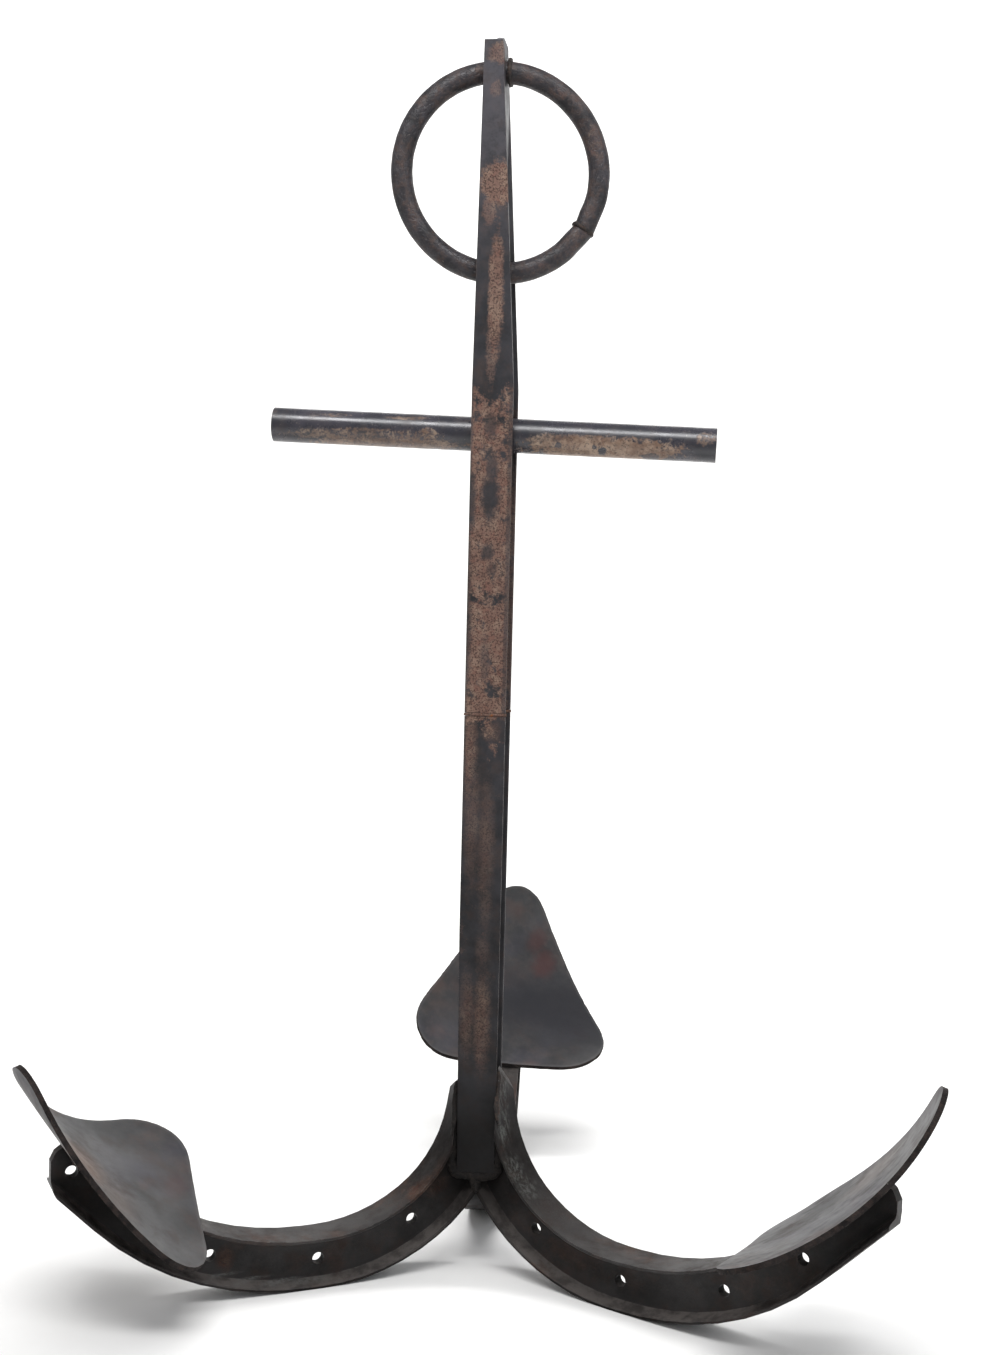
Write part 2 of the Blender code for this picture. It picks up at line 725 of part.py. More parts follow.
def walk_along(corners, step):
    """Points every so often along a line that turns at the given corners."""
    points = []
    for near, far in zip(corners, corners[1:]):
        count = max(round((far - near).length / step), 1)
        points += [near.lerp(far, i / count) for i in range(count)]
    return [*points, corners[-1]]


def bead(name, points, radius, parent, material, cutters):
    """A bead laid along a row of points, with the room that its neighbours take cut out of it."""
    last = len(points) - 1
    seed = sum(map(ord, name))
    heading = Vector((0, 0, 1))
    turn = heading.rotation_difference(heading)
    rings = []
    for i, point in enumerate(points):
        onward = (points[min(i + 1, last)] - points[max(i - 1, 0)]).normalized()
        turn = heading.rotation_difference(onward) @ turn
        heading = onward
        swell = bumpy(radius, i, seed) * (BEAD_END if i in (0, last) else 1.0)
        rings.append([point + turn @ Vector((a, b, 0)) for a, b in circle(swell, BEAD_SIDES)])
    obj = place(name, to_mesh(name, loft(rings)), parent, material)
    carve(obj, cutters)
    return obj


def collar(name, path_radius, bead_radius, parent, material, location, rotation, cutters):
    """A bead laid round a bar that runs along Y."""
    seed = sum(map(ord, name))
    bm = torus(path_radius, lambda i: bumpy(bead_radius, i, seed), COLLAR_STEPS, BEAD_SIDES)
    obj = place(name, to_mesh(name, bm), parent, material)
    obj.location = location
    obj.rotation_euler = [math.radians(angle) for angle in rotation]
    carve(obj, cutters)
    return obj


def web_space(root):
    """The room that the upper shank's web takes."""
    half = WEB_THICKNESS / 2 + GAP
    slab = box((-half, -JOIST_DEPTH, SPLICE_HEIGHT), (half, JOIST_DEPTH, SHANK_TOP_REAR))
    return cutter("web_space", slab, root)


def ring_space(ring_pivot):
    """The room that the ring takes."""
    bm = torus(RING_RADIUS, lambda i: RING_BAR_RADIUS + GAP, RING_STEPS, BAR_SIDES)
    return cutter("ring_space", bm, ring_pivot)


def ring_welds(ring_pivot, root, material):
    """The bead that closes the ring, and one on each side of the web round each of its two crossings."""
    seam = math.radians(RING_SEAM)
    location = (RING_RADIUS * math.cos(seam), 0, RING_RADIUS * math.sin(seam))
    path = RING_BAR_RADIUS - SEAM_SUNK * SEAM_BEAD
    turn = (90, -RING_SEAM, 0)
    around = [ring_space(ring_pivot)]
    beads = [collar("ring_seam_weld", path, SEAM_BEAD, ring_pivot, material, location, turn, around)]
    for level, height in (("top", RING_HEIGHT + RING_RADIUS), ("bottom", RING_HEIGHT - RING_RADIUS)):
        for side, sign in (("left", -1), ("right", 1)):
            out = sign * (WEB_THICKNESS / 2 + RING_BEAD * OFF_WEB)
            location = (out, out * math.tan(math.radians(RING_TURN)), height)
            path = RING_BAR_RADIUS + OFF_BAR * RING_BEAD
            name = f"ring_weld_{level}_{side}"
            around = [ring_space(ring_pivot), web_space(root)]
            beads.append(collar(name, path, RING_BEAD, root, material, location, (0, 0, -90), around))
    return beads


def stock_welds(stock_pivot, root, material):
    """Over and under the pipe, on each side of the web."""
    beads = []
    path = STOCK_RADIUS + OFF_BAR * STOCK_BEAD
    for level, start in (("over", 0.0), ("under", math.pi)):
        for side, sign in (("left", -1), ("right", 1)):
            out = sign * (WEB_THICKNESS / 2 + STOCK_BEAD * OFF_WEB)
            points = []
            for i in range(STOCK_BEAD_STEPS + 1):
                angle = start + STOCK_BEAD_SPREAD * (2 * i / STOCK_BEAD_STEPS - 1)
                points.append(Vector((out, path * math.sin(angle), path * math.cos(angle))))
            name = f"stock_weld_{level}_{side}"
            room = cylinder(STOCK_RADIUS + GAP, HOLE_DEPTH, PIPE_SIDES, "X")
            pipe = cutter("pipe_space", room, stock_pivot)
            beads.append(bead(name, points, STOCK_BEAD, stock_pivot, material, [pipe, web_space(root)]))
    return beads


def arm_space(side, spine, parent):
    """The room that an arm's joist takes."""
    return cutter("arm_space", arm_blank(side, spine, GAP), parent)


def crown_welds(spine, arm_pivots, root, crown, material):
    """Each arm's head to the shank, and the three seams between the arms' lower flanges."""
    beads = []
    for side, corners in HEAD_BEADS.items():
        points = walk_along([Vector(corner) for corner in corners], BEAD_STEP)
        around = [cutter("shank_space", lower_shape(GAP), root), arm_space(side, spine, arm_pivots[side])]
        beads.append(bead(f"crown_weld_{side}", points, HEAD_BEAD, root, material, around))
    for name, (one, other) in SEAMS.items():
        apart = (ARM_DIRECTION[other] - ARM_DIRECTION[one] + 180) % 360 - 180
        direction = math.radians(ARM_DIRECTION[one] + apart / 2)
        corners = []
        for out, height in SEAM_PATH:
            corners.append(Vector((out * math.cos(direction), out * math.sin(direction), height)))
        points = walk_along(corners, BEAD_STEP)
        around = [arm_space(side, spine, arm_pivots[side]) for side in (one, other)]
        beads.append(bead(f"crown_seam_{name}", points, SEAM_BEAD, crown, material, around))
    return beads


def under_plate(bed, spine, length, across):
    """How high over the arm's centreline the plate's underside is, at a place along and across the arm."""
    reach, height, angle = spine.at(length)
    low = -BED_MARGIN
    high = bed.shape["length"]
    aside = across
    for _ in range(HALVINGS):
        walk = (low + high) / 2
        point = bed.point(walk, aside, -PLATE_THICKNESS / 2)
        aside += across - point.y
        along = (point.x - reach) * math.sin(angle) - (point.z - height) * math.cos(angle)
        if along < 0:
            low = walk
        else:
            high = walk
    return (point.x - reach) * math.cos(angle) + (point.z - height) * math.sin(angle)


def flange_underside(across):
    """How high over the arm's centreline its upper flange's inner face is."""
    slope = (FLANGE_ROOT - FLANGE_TOE) / (FLANGE_WIDTH / 2 - WEB_THICKNESS / 2)
    return JOIST_DEPTH / 2 - FLANGE_TOE - slope * (FLANGE_WIDTH / 2 - abs(across))


def fluke_weld(side, edge, sign, bed, spine, parent, material):
    """A fillet under one side of the plate: along the flange, and along the web where the flange runs out."""
    points = []
    length = bed.shape["start"] + FILLET_INSET
    while True:
        reach, height, angle = spine.at(length)
        if reach > ARM_END[side] - FILLET_INSET:
            break
        across = FLANGE_WIDTH / 2
        while across > WEB_THICKNESS / 2:
            if under_plate(bed, spine, length, sign * across) > flange_underside(across):
                break
            across -= EDGE_STEP
        up = under_plate(bed, spine, length, sign * across)
        if up < JOIST_DEPTH / 2 + FILLET:
            up = min(up - FILLET * FILLET_DROP, JOIST_DEPTH / 2)
            points.append(offset_point(reach, height, angle, sign * (across + FILLET * FILLET_OUT), up))
        length += FILLET_STEP
    half = PLATE_THICKNESS / 2 + GAP
    around = [arm_space(side, spine, parent), cutter("plate_space", plate_on(bed, -half, half, GAP), parent)]
    return bead(f"fluke_weld_{side}_{edge}", points, FILLET, parent, material, around)


# ---------------------------------------------------------------- the anchor
def stand_on_origin(root, objects):
    """Move the whole so that the middle of its footprint is the origin."""
    bpy.context.view_layer.update()
    points = [obj.matrix_world @ vertex.co for obj in objects for vertex in obj.data.vertices]
    low = [min(point[i] for point in points) for i in range(3)]
    high = [max(point[i] for point in points) for i in range(3)]
    root.location = (-(low[0] + high[0]) / 2, -(low[1] + high[1]) / 2, -low[2])


def main():
    for obj in list(bpy.data.objects):
        bpy.data.objects.remove(obj)
    rust = steel("rusted_joist", (0.085, 0.060, 0.052), 0.72, 0.25)
    scale = steel("blue_black_scale", (0.055, 0.062, 0.075), 0.45, 0.35)
    plate = steel("dark_plate", (0.075, 0.072, 0.072), 0.50, 0.30)
    weld = steel("weld_metal", (0.11, 0.065, 0.045), 0.62, 0.35)

    root = pivot("anchor")
    crown = pivot("crown", root, (CROWN_OFFSET, 0, 0))
    objects = [lower_shank(root, rust), splice_weld(root, weld), upper_shank(root, rust)]

    stock_pivot = pivot("stock_pivot", root, (0, 0, STOCK_HEIGHT), (0, STOCK_DROOP, 0))
    ring_pivot = pivot("ring_pivot", root, (0, 0, RING_HEIGHT), (0, 0, RING_TURN))
    objects += [stock(stock_pivot, scale), ring(ring_pivot, scale)]

    spine = arm_spine()
    arm_pivots = {}
    for side, direction in ARM_DIRECTION.items():
        turned = pivot(f"arm_pivot_{side}", crown, (0, 0, 0), (0, 0, direction))
        arm_pivots[side] = turned
        bed = Bed(spine, FLUKES[side])
        objects.append(arm(side, spine, bed, turned, rust))
        objects.append(fluke(side, bed, turned, plate))
        for edge, sign in (("left", 1), ("right", -1)):
            objects.append(fluke_weld(side, edge, sign, bed, spine, turned, weld))

    objects += ring_welds(ring_pivot, root, weld)
    objects += stock_welds(stock_pivot, root, weld)
    objects += crown_welds(spine, arm_pivots, root, crown, weld)
    stand_on_origin(root, objects)


main()
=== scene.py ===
# %% [markdown]
# # A welded steel anchor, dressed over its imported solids
#
# The anchor is nearly two metres of rolled joist, pipe and plate, sawn, bent and welded by hand, and left to
# rust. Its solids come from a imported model, and this script gives them their surfaces: blue-black mill scale,
# rust, worn edges, torch-cut rims and lumpy weld beads. Everything is in metres, with +Z up along the shank,
# +X to the right along the stock, and +Y to the rear.

import math

import bmesh
import bpy
from mathutils import Matrix, Vector, noise


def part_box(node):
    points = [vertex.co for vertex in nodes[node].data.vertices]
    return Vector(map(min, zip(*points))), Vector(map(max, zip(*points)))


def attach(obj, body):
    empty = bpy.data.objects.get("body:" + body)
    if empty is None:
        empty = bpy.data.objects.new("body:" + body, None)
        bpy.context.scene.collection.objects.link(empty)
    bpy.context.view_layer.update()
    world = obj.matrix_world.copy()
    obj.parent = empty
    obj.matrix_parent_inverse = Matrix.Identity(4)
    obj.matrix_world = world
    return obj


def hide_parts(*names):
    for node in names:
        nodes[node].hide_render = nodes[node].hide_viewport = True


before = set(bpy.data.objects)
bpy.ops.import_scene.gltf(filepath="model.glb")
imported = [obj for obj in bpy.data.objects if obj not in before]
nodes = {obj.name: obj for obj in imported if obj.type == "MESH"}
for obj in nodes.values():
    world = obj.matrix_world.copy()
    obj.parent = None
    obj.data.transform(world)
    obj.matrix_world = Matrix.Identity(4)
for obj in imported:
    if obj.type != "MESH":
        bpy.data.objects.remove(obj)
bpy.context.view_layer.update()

# %% [markdown]
# ## Where things are
#
# A few places on the anchor are used again and again: the shank's axis, and the crown where the three arms
# meet. They are named once here, and the centres of the ring's and the stock's boxes are printed beside them.

# %% Name the main places
SHANK_X = -0.0153
SHANK_Y = -0.1489
FRONT_Y = SHANK_Y - 0.0375  # the face of the shank's front flange
CROWN = Vector((SHANK_X + 0.004, SHANK_Y, 0.15))
RING_CENTRE = Vector((SHANK_X, SHANK_Y, 1.658))
STOCK_CENTRE = Vector((SHANK_X, SHANK_Y, 1.272))
for name in ("ring", "stock"):
    low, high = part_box(name)
    print(name, "centre", [round((a + b) / 2, 4) for a, b in zip(low, high)])

# %% [markdown]
# ## The camera
#
# The camera stands a little under three metres away, at eye level for a low bench, and slightly to the
# right, so that one side of the shank shows too. It is turned in three steps: round to face the anchor, down
# to aim at its middle, and a small roll, as if held in the hand.

# %% Place the camera
def new_object(name, data):
    """An object linked to the scene."""
    obj = bpy.data.objects.new(name, data)
    bpy.context.scene.collection.objects.link(obj)
    return obj


CAMERA_PLACE = (SHANK_X + 0.3149, SHANK_Y - 2.7431, 1.1243)
CAMERA_HEADING = 6.19  # degrees to the left of straight back
CAMERA_PITCH = -4.506
CAMERA_ROLL = 1.417
LENS = 48.46
SENSOR = 36.0

camera = new_object("camera", bpy.data.cameras.new("camera"))
heading = Matrix.Rotation(math.radians(CAMERA_HEADING), 4, "Z")
pitch = Matrix.Rotation(math.radians(90 + CAMERA_PITCH), 4, "X")
roll = Matrix.Rotation(math.radians(CAMERA_ROLL), 4, "Z")
camera.matrix_world = Matrix.Translation(CAMERA_PLACE) @ heading @ pitch @ roll
camera.data.lens = LENS
camera.data.sensor_fit = "VERTICAL"
camera.data.sensor_height = SENSOR
camera.data.clip_start = 0.05
bpy.context.scene.camera = camera
print("camera at", [round(v, 3) for v in CAMERA_PLACE], "lens", LENS)

# %% [markdown]
# ## Soft studio light
#
# Dark scaled steel shows its form through broad, soft reflections. Three big area lights do most of the
# work: one overhead and in front, like a workshop's ceiling lights, and a weaker one on each side. A pale
# sky fills the rest, so that the shadows on the floor stay gentle. Two more lamps brighten the backdrop and
# the floor, and their reflections are switched off, or they would glint on the steel.

# %% Light the scene
def soft_light(name, place, aim, size, power, colour=(1.0, 1.0, 1.0)):
    """A rectangular area light that looks at a point."""
    lamp = new_object(name, bpy.data.lights.new(name, "AREA"))
    lamp.data.shape = "RECTANGLE"
    lamp.data.size, lamp.data.size_y = size
    lamp.data.energy = power
    lamp.data.color = colour
    lamp.location = place
    lamp.rotation_euler = (Vector(aim) - Vector(place)).to_track_quat("-Z", "Y").to_euler()
    return lamp


soft_light("ceiling_light", (0.1, -1.7, 3.5), (0, -0.1, 1.1), (2.8, 0.8), 84)
soft_light("left_light", (-3.0, -1.8, 1.7), (0, -0.1, 0.8), (1.2, 2.4), 20, (1.0, 0.96, 0.92))
soft_light("right_light", (3.0, -1.4, 2.0), (0, -0.1, 0.8), (1.2, 2.4), 22, (0.94, 0.97, 1.0))
backdrop_light = soft_light("backdrop_light", (0.0, 1.3, 4.6), (0, 4.3, 1.3), (5.0, 1.6), 300)
floor_light = soft_light("floor_light", (0.0, -0.4, 5.5), (0, 0.2, 0.0), (4.0, 3.0), 60)
for lamp in (backdrop_light, floor_light):
    lamp.visible_glossy = False

sky = bpy.data.worlds.new("pale_sky")
sky.use_nodes = True
glow = sky.node_tree.nodes["Background"].inputs
glow["Color"].default_value = (0.93, 0.95, 1.0, 1.0)
glow["Strength"].default_value = 0.36
bpy.context.scene.world = sky
bpy.context.scene.view_settings.view_transform = "Standard"

# %% [markdown]
# ## Small helpers for nodes
#
# A material is a graph, and writing every link by hand hides what it does. These helpers add a node, set its
# sockets from plain numbers and colours, and draw a link wherever a socket is given instead of a value. A
# socket knows which tree it is in, so a helper that is given one needs no other hint.

# %% Node helpers
def feed(socket, value):
    """Set a socket, or link it when the value is another socket."""
    if isinstance(value, bpy.types.NodeSocket):
        socket.id_data.links.new(value, socket)
    elif socket.type == "RGBA":
        socket.default_value = (*value, 1.0)
    else:
        socket.default_value = value


def add(tree, kind, settings=None, **sockets):
    """Add a node. Settings are its own options, and the rest are its input sockets by name."""
    node = tree.nodes.new(f"ShaderNode{kind}")
    for key, value in (settings or {}).items():
        setattr(node, key, value)
    for key, value in sockets.items():
        feed(node.inputs[key.replace("_", " ")], value)
    return node


def join(kind, settings, values, places=None):
    """Add a node where the values come from, feed its inputs in order, and return its outputs."""
    tree = next(value.id_data for value in values if isinstance(value, bpy.types.NodeSocket))
    node = add(tree, kind, settings)
    for place, value in zip(places or range(len(values)), values):
        feed(node.inputs[place], value)
    return node.outputs


def sums(operation, *values):
    """A Math node's result."""
    return join("Math", {"operation": operation}, values)[0]


def vectors(operation, *values):
    """A Vector Math node's outputs."""
    return join("VectorMath", {"operation": operation}, values)


def times(a, b):
    """The product of two values."""
    return sums("MULTIPLY", a, b)


def most(a, b):
    """The larger of two values."""
    return sums("MAXIMUM", a, b)


def raised(mask, amount, base):
    """A base value with an amount added where a mask says."""
    return sums("MULTIPLY_ADD", mask, amount, base)


print("math helpers ready")

# %% [markdown]
# The next helpers mix colours and shape masks. A mask is a value from 0 to 1 that says where something shows.

# %% Colours and masks
COLOUR_SOCKETS = (0, 6, 7)  # a Mix node's factor, and the two colours after its other kinds of input


def blend(factor, a, b):
    """Two colours mixed by a factor."""
    return join("Mix", {"data_type": "RGBA"}, (factor, a, b), COLOUR_SOCKETS)[2]


def tint(colour, mask, share, tone):
    """A colour with a share of a tone laid over it where a mask says."""
    return blend(times(mask, share), colour, tone)


def between(value, low, high, start=0.0, end=1.0):
    """A value eased from start to end as it goes from low to high."""
    return join("MapRange", {"interpolation_type": "SMOOTHSTEP"}, (value, low, high, start, end))[0]


def ramp(value, stops):
    """A colour ramp's result; each stop is a place and a grey."""
    node = add(value.id_data, "ValToRGB", Fac=value)
    marks = node.color_ramp.elements
    while len(marks) < len(stops):
        marks.new(0.5)
    for mark, (place, grey) in zip(marks, stops):
        mark.position = place
        mark.color = (grey, grey, grey, 1.0)
    return node.outputs["Color"]


def here(tree):
    """Object coordinates, in metres."""
    return add(tree, "TexCoord").outputs["Object"]


def noisy(place, scale, detail, roughness, **more):
    """The value of a Noise texture at a place."""
    look = {"Scale": scale, "Detail": detail, "Roughness": roughness, **more}
    return add(place.id_data, "TexNoise", Vector=place, **look).outputs[0]


print("colour and mask helpers ready")

# %% [markdown]
# A node group is a small graph with sockets of its own, which several materials can share.

# %% Groups
def new_group(name, inputs, outputs):
    """An empty shader node group with named sockets; inputs give (kind, default)."""
    group = bpy.data.node_groups.new(name, "ShaderNodeTree")
    for title, (kind, default) in inputs.items():
        socket = group.interface.new_socket(title, in_out="INPUT", socket_type=f"NodeSocket{kind}")
        socket.default_value = (*default, 1.0) if kind == "Color" else default
    for title, kind in outputs.items():
        group.interface.new_socket(title, in_out="OUTPUT", socket_type=f"NodeSocket{kind}")
    return group, group.nodes.new("NodeGroupInput").outputs, group.nodes.new("NodeGroupOutput").inputs


def use(tree, group, **sockets):
    """Place a group in a material, and return its outputs."""
    return add(tree, "Group", {"node_tree": group}, **sockets).outputs


print("group helpers ready")

# %% [markdown]
# ## Effects that several finishes share
#
# **Mottle** is cloudy noise squeezed between two levels, the starting point of every blotch. It reads object
# coordinates, which on this model are metres, so a scale of 40 means blotches about 25 mm across.

# %% Group: mottle
mottle, given, result = new_group(
    "mottle",
    {"Scale": ("Float", 40.0), "Roughness": ("Float", 0.6), "Low": ("Float", 0.4), "High": ("Float", 0.6),
     "Stretch": ("Vector", (1.0, 1.0, 1.0)), "Shift": ("Vector", (0.0, 0.0, 0.0))},
    {"Mask": "Float"},
)
moved = vectors("MULTIPLY_ADD", here(mottle), given["Stretch"], given["Shift"])[0]
clouds = noisy(moved, given["Scale"], 6.0, given["Roughness"])
feed(result["Mask"], between(clouds, given["Low"], given["High"]))


def spots(tree, scale, roughness, low, high, **more):
    """The mottle group's mask: its scale, its roughness and the two levels."""
    return use(tree, mottle, Scale=scale, Roughness=roughness, Low=low, High=high, **more)["Mask"]


print("group:", mottle.name)

# %% [markdown]
# **Patch** is one blotch at a chosen place: where the scale came off, or where a hand wore it. It measures
# the distance from a centre, with its own size along each axis, and roughens the rim with noise so that it
# looks flaked rather than painted.

# %% Group: patch
patch, given, result = new_group(
    "patch",
    {"Centre": ("Vector", (0.0, 0.0, 0.0)), "Size": ("Vector", (0.05, 0.05, 0.05)),
     "Ragged": ("Float", 0.5), "Grain": ("Float", 90.0), "Soft": ("Float", 0.2)},
    {"Mask": "Float"},
)
place = here(patch)
offset = vectors("SUBTRACT", place, given["Centre"])[0]
share = vectors("DIVIDE", offset, given["Size"])[0]
reach = vectors("LENGTH", share)["Value"]
flakes = noisy(place, given["Grain"], 9.0, 0.78)
wobble = times(sums("SUBTRACT", flakes, 0.5), given["Ragged"])
wobble = times(wobble, 4.0)
rim = sums("ADD", reach, wobble)
soft = given["Soft"]
mask = between(rim, sums("ADD", soft, 1.0), sums("SUBTRACT", 1.0, soft))
feed(result["Mask"], mask)
print("group:", patch.name)

# %% [markdown]
# **Edge wear** finds the corners of a piece. A Bevel node rounds the shading normal near an edge, and where
# that differs from the flat normal there is a corner. Steel rubs bright there, and scale and rust hold on
# in between, so noise breaks the line up.

# %% Group: edge wear
edge_wear, given, result = new_group(
    "edge_wear",
    {"Width": ("Float", 0.0015), "Grain": ("Float", 120.0), "Hold": ("Float", 0.45)},
    {"Mask": "Float"},
)
rounded = add(edge_wear, "Bevel", {"samples": 4}, Radius=given["Width"])
flat = add(edge_wear, "NewGeometry").outputs["Normal"]
facing = vectors("DOT_PRODUCT", rounded.outputs[0], flat)["Value"]
corner = between(facing, 0.995, 0.85)
grain = noisy(here(edge_wear), given["Grain"], 5.0, 0.65)
kept = between(grain, given["Hold"], sums("ADD", given["Hold"], 0.15))
feed(result["Mask"], times(corner, kept))


def wear(tree, width, grain, hold):
    """The edge wear group's mask: its width, its grain and how much the noise holds back."""
    return use(tree, edge_wear, Width=width, Grain=grain, Hold=hold)["Mask"]


print("group:", edge_wear.name)

# %% [markdown]
# **Rust** is several browns at once: a tan bloom, a red-brown body and dark pits, all at different sizes.
# The group gives the colour and a height for the Bump node, because rust stands proud of the steel and
# is full of holes.

# %% Group: rust
rust, given, result = new_group(
    "rust",
    {"Body": ("Color", (0.168, 0.100, 0.079)), "Bloom": ("Color", (0.240, 0.160, 0.122)),
     "Red": ("Color", (0.168, 0.086, 0.067)), "Pit": ("Color", (0.046, 0.031, 0.027)),
     "Scale": ("Float", 60.0), "Pitting": ("Float", 0.5)},
    {"Color": "Color", "Height": "Float"},
)
place = here(rust)
broad = noisy(place, given["Scale"], 8.0, 0.68)
fine_scale = times(given["Scale"], 7.5)
fine = noisy(place, fine_scale, 5.0, 0.75)
red_scale = times(given["Scale"], 1.7)
reds = noisy(place, red_scale, 6.0, 0.6, Distortion=0.6)
colour = blend(between(broad, 0.42, 0.66), given["Body"], given["Bloom"])
colour = blend(between(reds, 0.52, 0.64, 0.0, 0.7), colour, given["Red"])
pit_edge = raised(given["Pitting"], 0.2, 0.34)
pit_rim = sums("ADD", pit_edge, 0.05)
pits = between(fine, pit_rim, sums("SUBTRACT", pit_edge, 0.05))
colour = tint(colour, pits, 0.85, given["Pit"])
feed(result["Color"], colour)
height = sums("ADD", times(fine, 0.6), times(pits, -0.7))
feed(result["Height"], height)
print("group:", rust.name)

# %% [markdown]
# **Mill scale** is the blue-black skin that hot rolling leaves. It is smooth and a little glossy, clouded
# with violet and grey, and speckled where it has begun to lift.

# %% Group: mill scale
mill_scale, given, result = new_group(
    "mill_scale",
    {"Dark": ("Color", (0.013, 0.013, 0.015)), "Light": ("Color", (0.036, 0.035, 0.040)),
     "Warm": ("Color", (0.050, 0.033, 0.028)), "Scale": ("Float", 18.0), "Warmth": ("Float", 0.5)},
    {"Color": "Color", "Roughness": "Float", "Height": "Float"},
)
place = here(mill_scale)
clouds = noisy(place, given["Scale"], 6.0, 0.6)
warm_scale = times(given["Scale"], 2.3)
warmths = noisy(place, warm_scale, 7.0, 0.65)
speck_scale = times(given["Scale"], 22.0)
specks = noisy(place, speck_scale, 4.0, 0.7)
colour = blend(between(clouds, 0.34, 0.66), given["Dark"], given["Light"])
warm = times(between(warmths, 0.45, 0.70), given["Warmth"])
colour = blend(warm, colour, given["Warm"])
speck = between(specks, 0.62, 0.72, 0.0, 0.45)
colour = blend(speck, colour, given["Warm"])
feed(result["Color"], colour)
rough = between(clouds, 0.3, 0.7, 0.52, 0.36)
feed(result["Roughness"], sums("ADD", rough, times(warm, 0.25)))
bump = sums("ADD", times(specks, 0.35), warmths)
feed(result["Height"], bump)
print("group:", mill_scale.name)

# %% [markdown]
# ** Recess shade** is painted shade: it darkens the places that light hardly reaches, in the webs of the
# joist, under the plates and round the welds. Ambient occlusion measures how shut in a point is.

# %% Group: recess shade
recess_shading, given, result = new_group(
    "painted_recess_shade", {"Reach": ("Float", 0.05), "Strength": ("Float", 0.8)}, {"Mask": "Float"}
)
shut_in = add(recess_shading, "AmbientOcclusion", {"samples": 4}, Distance=given["Reach"])
# painted shade: the more shut in a point is, the darker it is painted
recess_darkness = between(shut_in.outputs["AO"], 0.95, 0.35)
feed(result["Mask"], times(recess_darkness, given["Strength"]))
print("group:", recess_shading.name)


# %% [markdown]
# ## The materials
#
# Each finish keeps its own Principled shader, and the groups above feed it. The helpers here start a
# material, place patches, and finish it with a Bump node and softly broken edges, so that each cell only has
# to say what is different.

# %% Start a material
EDGE_BREAK = 0.0012


def begin(name):
    """Make a material, and return its node tree."""
    material = bpy.data.materials.new(name)
    material.use_nodes = True
    return material.node_tree


def finish(name, colour, roughness, height, bump_depth, bump_size=0.0006, metallic=0.0, shine=0.5):
    """Fill in a material that begin() made; any value may be a socket."""
    material = bpy.data.materials[name]
    tree = material.node_tree
    shader = tree.nodes["Principled BSDF"]
    look = {"Base Color": colour, "Roughness": roughness, "Metallic": metallic, "Specular IOR Level": shine}
    for title, value in look.items():
        feed(shader.inputs[title], value)
    broken_edges = add(tree, "Bevel", {"samples": 4}, Radius=EDGE_BREAK).outputs[0]
    relief = add(tree, "Bump", Strength=bump_depth, Distance=bump_size, Height=height, Normal=broken_edges)
    feed(shader.inputs["Normal"], relief.outputs[0])
    return material


def axis_value(tree, axis):
    """One object coordinate, in metres."""
    return add(tree, "SeparateXYZ", Vector=here(tree)).outputs[axis]


def strongest(tree, places, ragged=0.42, grain=110.0, soft=0.2):
    """The strongest of several patches; each place is a centre, a size and a strength."""
    rim = {"Ragged": ragged, "Grain": grain, "Soft": soft}
    total = None
    for centre, size, strength in places:
        mask = use(tree, patch, Centre=tuple(centre), Size=size, **rim)["Mask"]
        mask = times(mask, strength)
        total = mask if total is None else most(total, mask)
    return total


def without(mask, held_back, share=1.0):
    """A mask with a share of another taken away."""
    return times(mask, raised(held_back, -share, 1.0))


# the near-black of painted shade: in the recesses, towards the shank's foot and round the crown
SHADE_BLACK = (0.0085, 0.0080, 0.0078)
print("material helpers ready")

# %% [markdown]
# ### The shank
#
# The joist hung or stood upright for years, and its front tells the story from the top down: scale near
# the ring, a thick coat of rust through the middle, and dark again below the weld that joins its two
# lengths. A ramp on height sets how much rust there is, and a few patches put the larger marks in.

# %% The shank's front marks
FRONT_MARKS = [  # how far right of the axis, height, half width, half height, strength
    (0.002, 1.824, 0.020, 0.016, 0.60), (-0.006, 1.772, 0.008, 0.012, 0.35),  # the worn head
    (0.003, 1.636, 0.028, 0.030, 0.95), (-0.012, 1.600, 0.010, 0.022, 0.55),  # a tan band and its tail
    (0.001, 1.475, 0.011, 0.088, 0.90), (-0.003, 1.400, 0.008, 0.050, 0.45),  # a red streak and its tail
]
LOW_MARKS = [  # fainter ones below the splice
    (-0.017, 0.395, 0.010, 0.052, 0.55), (0.006, 0.385, 0.011, 0.062, 0.70),  # above the foot
    (0.002, 0.335, 0.004, 0.020, 0.60), (0.005, 0.495, 0.009, 0.022, 0.35),
    (-0.022, 0.795, 0.009, 0.060, 0.70), (0.010, 0.828, 0.012, 0.012, 0.45),  # under the splice
    (0.006, 0.655, 0.011, 0.075, 0.42), (-0.016, 0.690, 0.010, 0.080, 0.40),
    (0.008, 0.560, 0.008, 0.030, 0.30),
]
BARE_OF_RUST = [  # places where the dark scale still shows through the rust
    (0.000, 1.178, 0.013, 0.036, 0.95), (0.002, 1.222, 0.009, 0.018, 0.75),
    (-0.002, 1.096, 0.009, 0.012, 0.80), (0.006, 1.072, 0.008, 0.010, 0.55),
    (-0.002, 1.285, 0.009, 0.020, 0.70), (-0.002, 0.935, 0.007, 0.030, 0.45),
    (-0.029, 1.170, 0.008, 0.040, 0.80), (-0.030, 0.990, 0.007, 0.090, 0.60),  # along the left edge
]


def marks(tree, places, ragged=0.5, soft=0.25):
    """The strongest of several patches on the shank's front face."""
    listed = [((SHANK_X + side, FRONT_Y, height), (wide, 0.02, tall), strength)
              for side, height, wide, tall, strength in places]
    return strongest(tree, listed, ragged, 110.0, soft)


print("rusty marks:", len(FRONT_MARKS) + len(LOW_MARKS), "dark places:", len(BARE_OF_RUST))
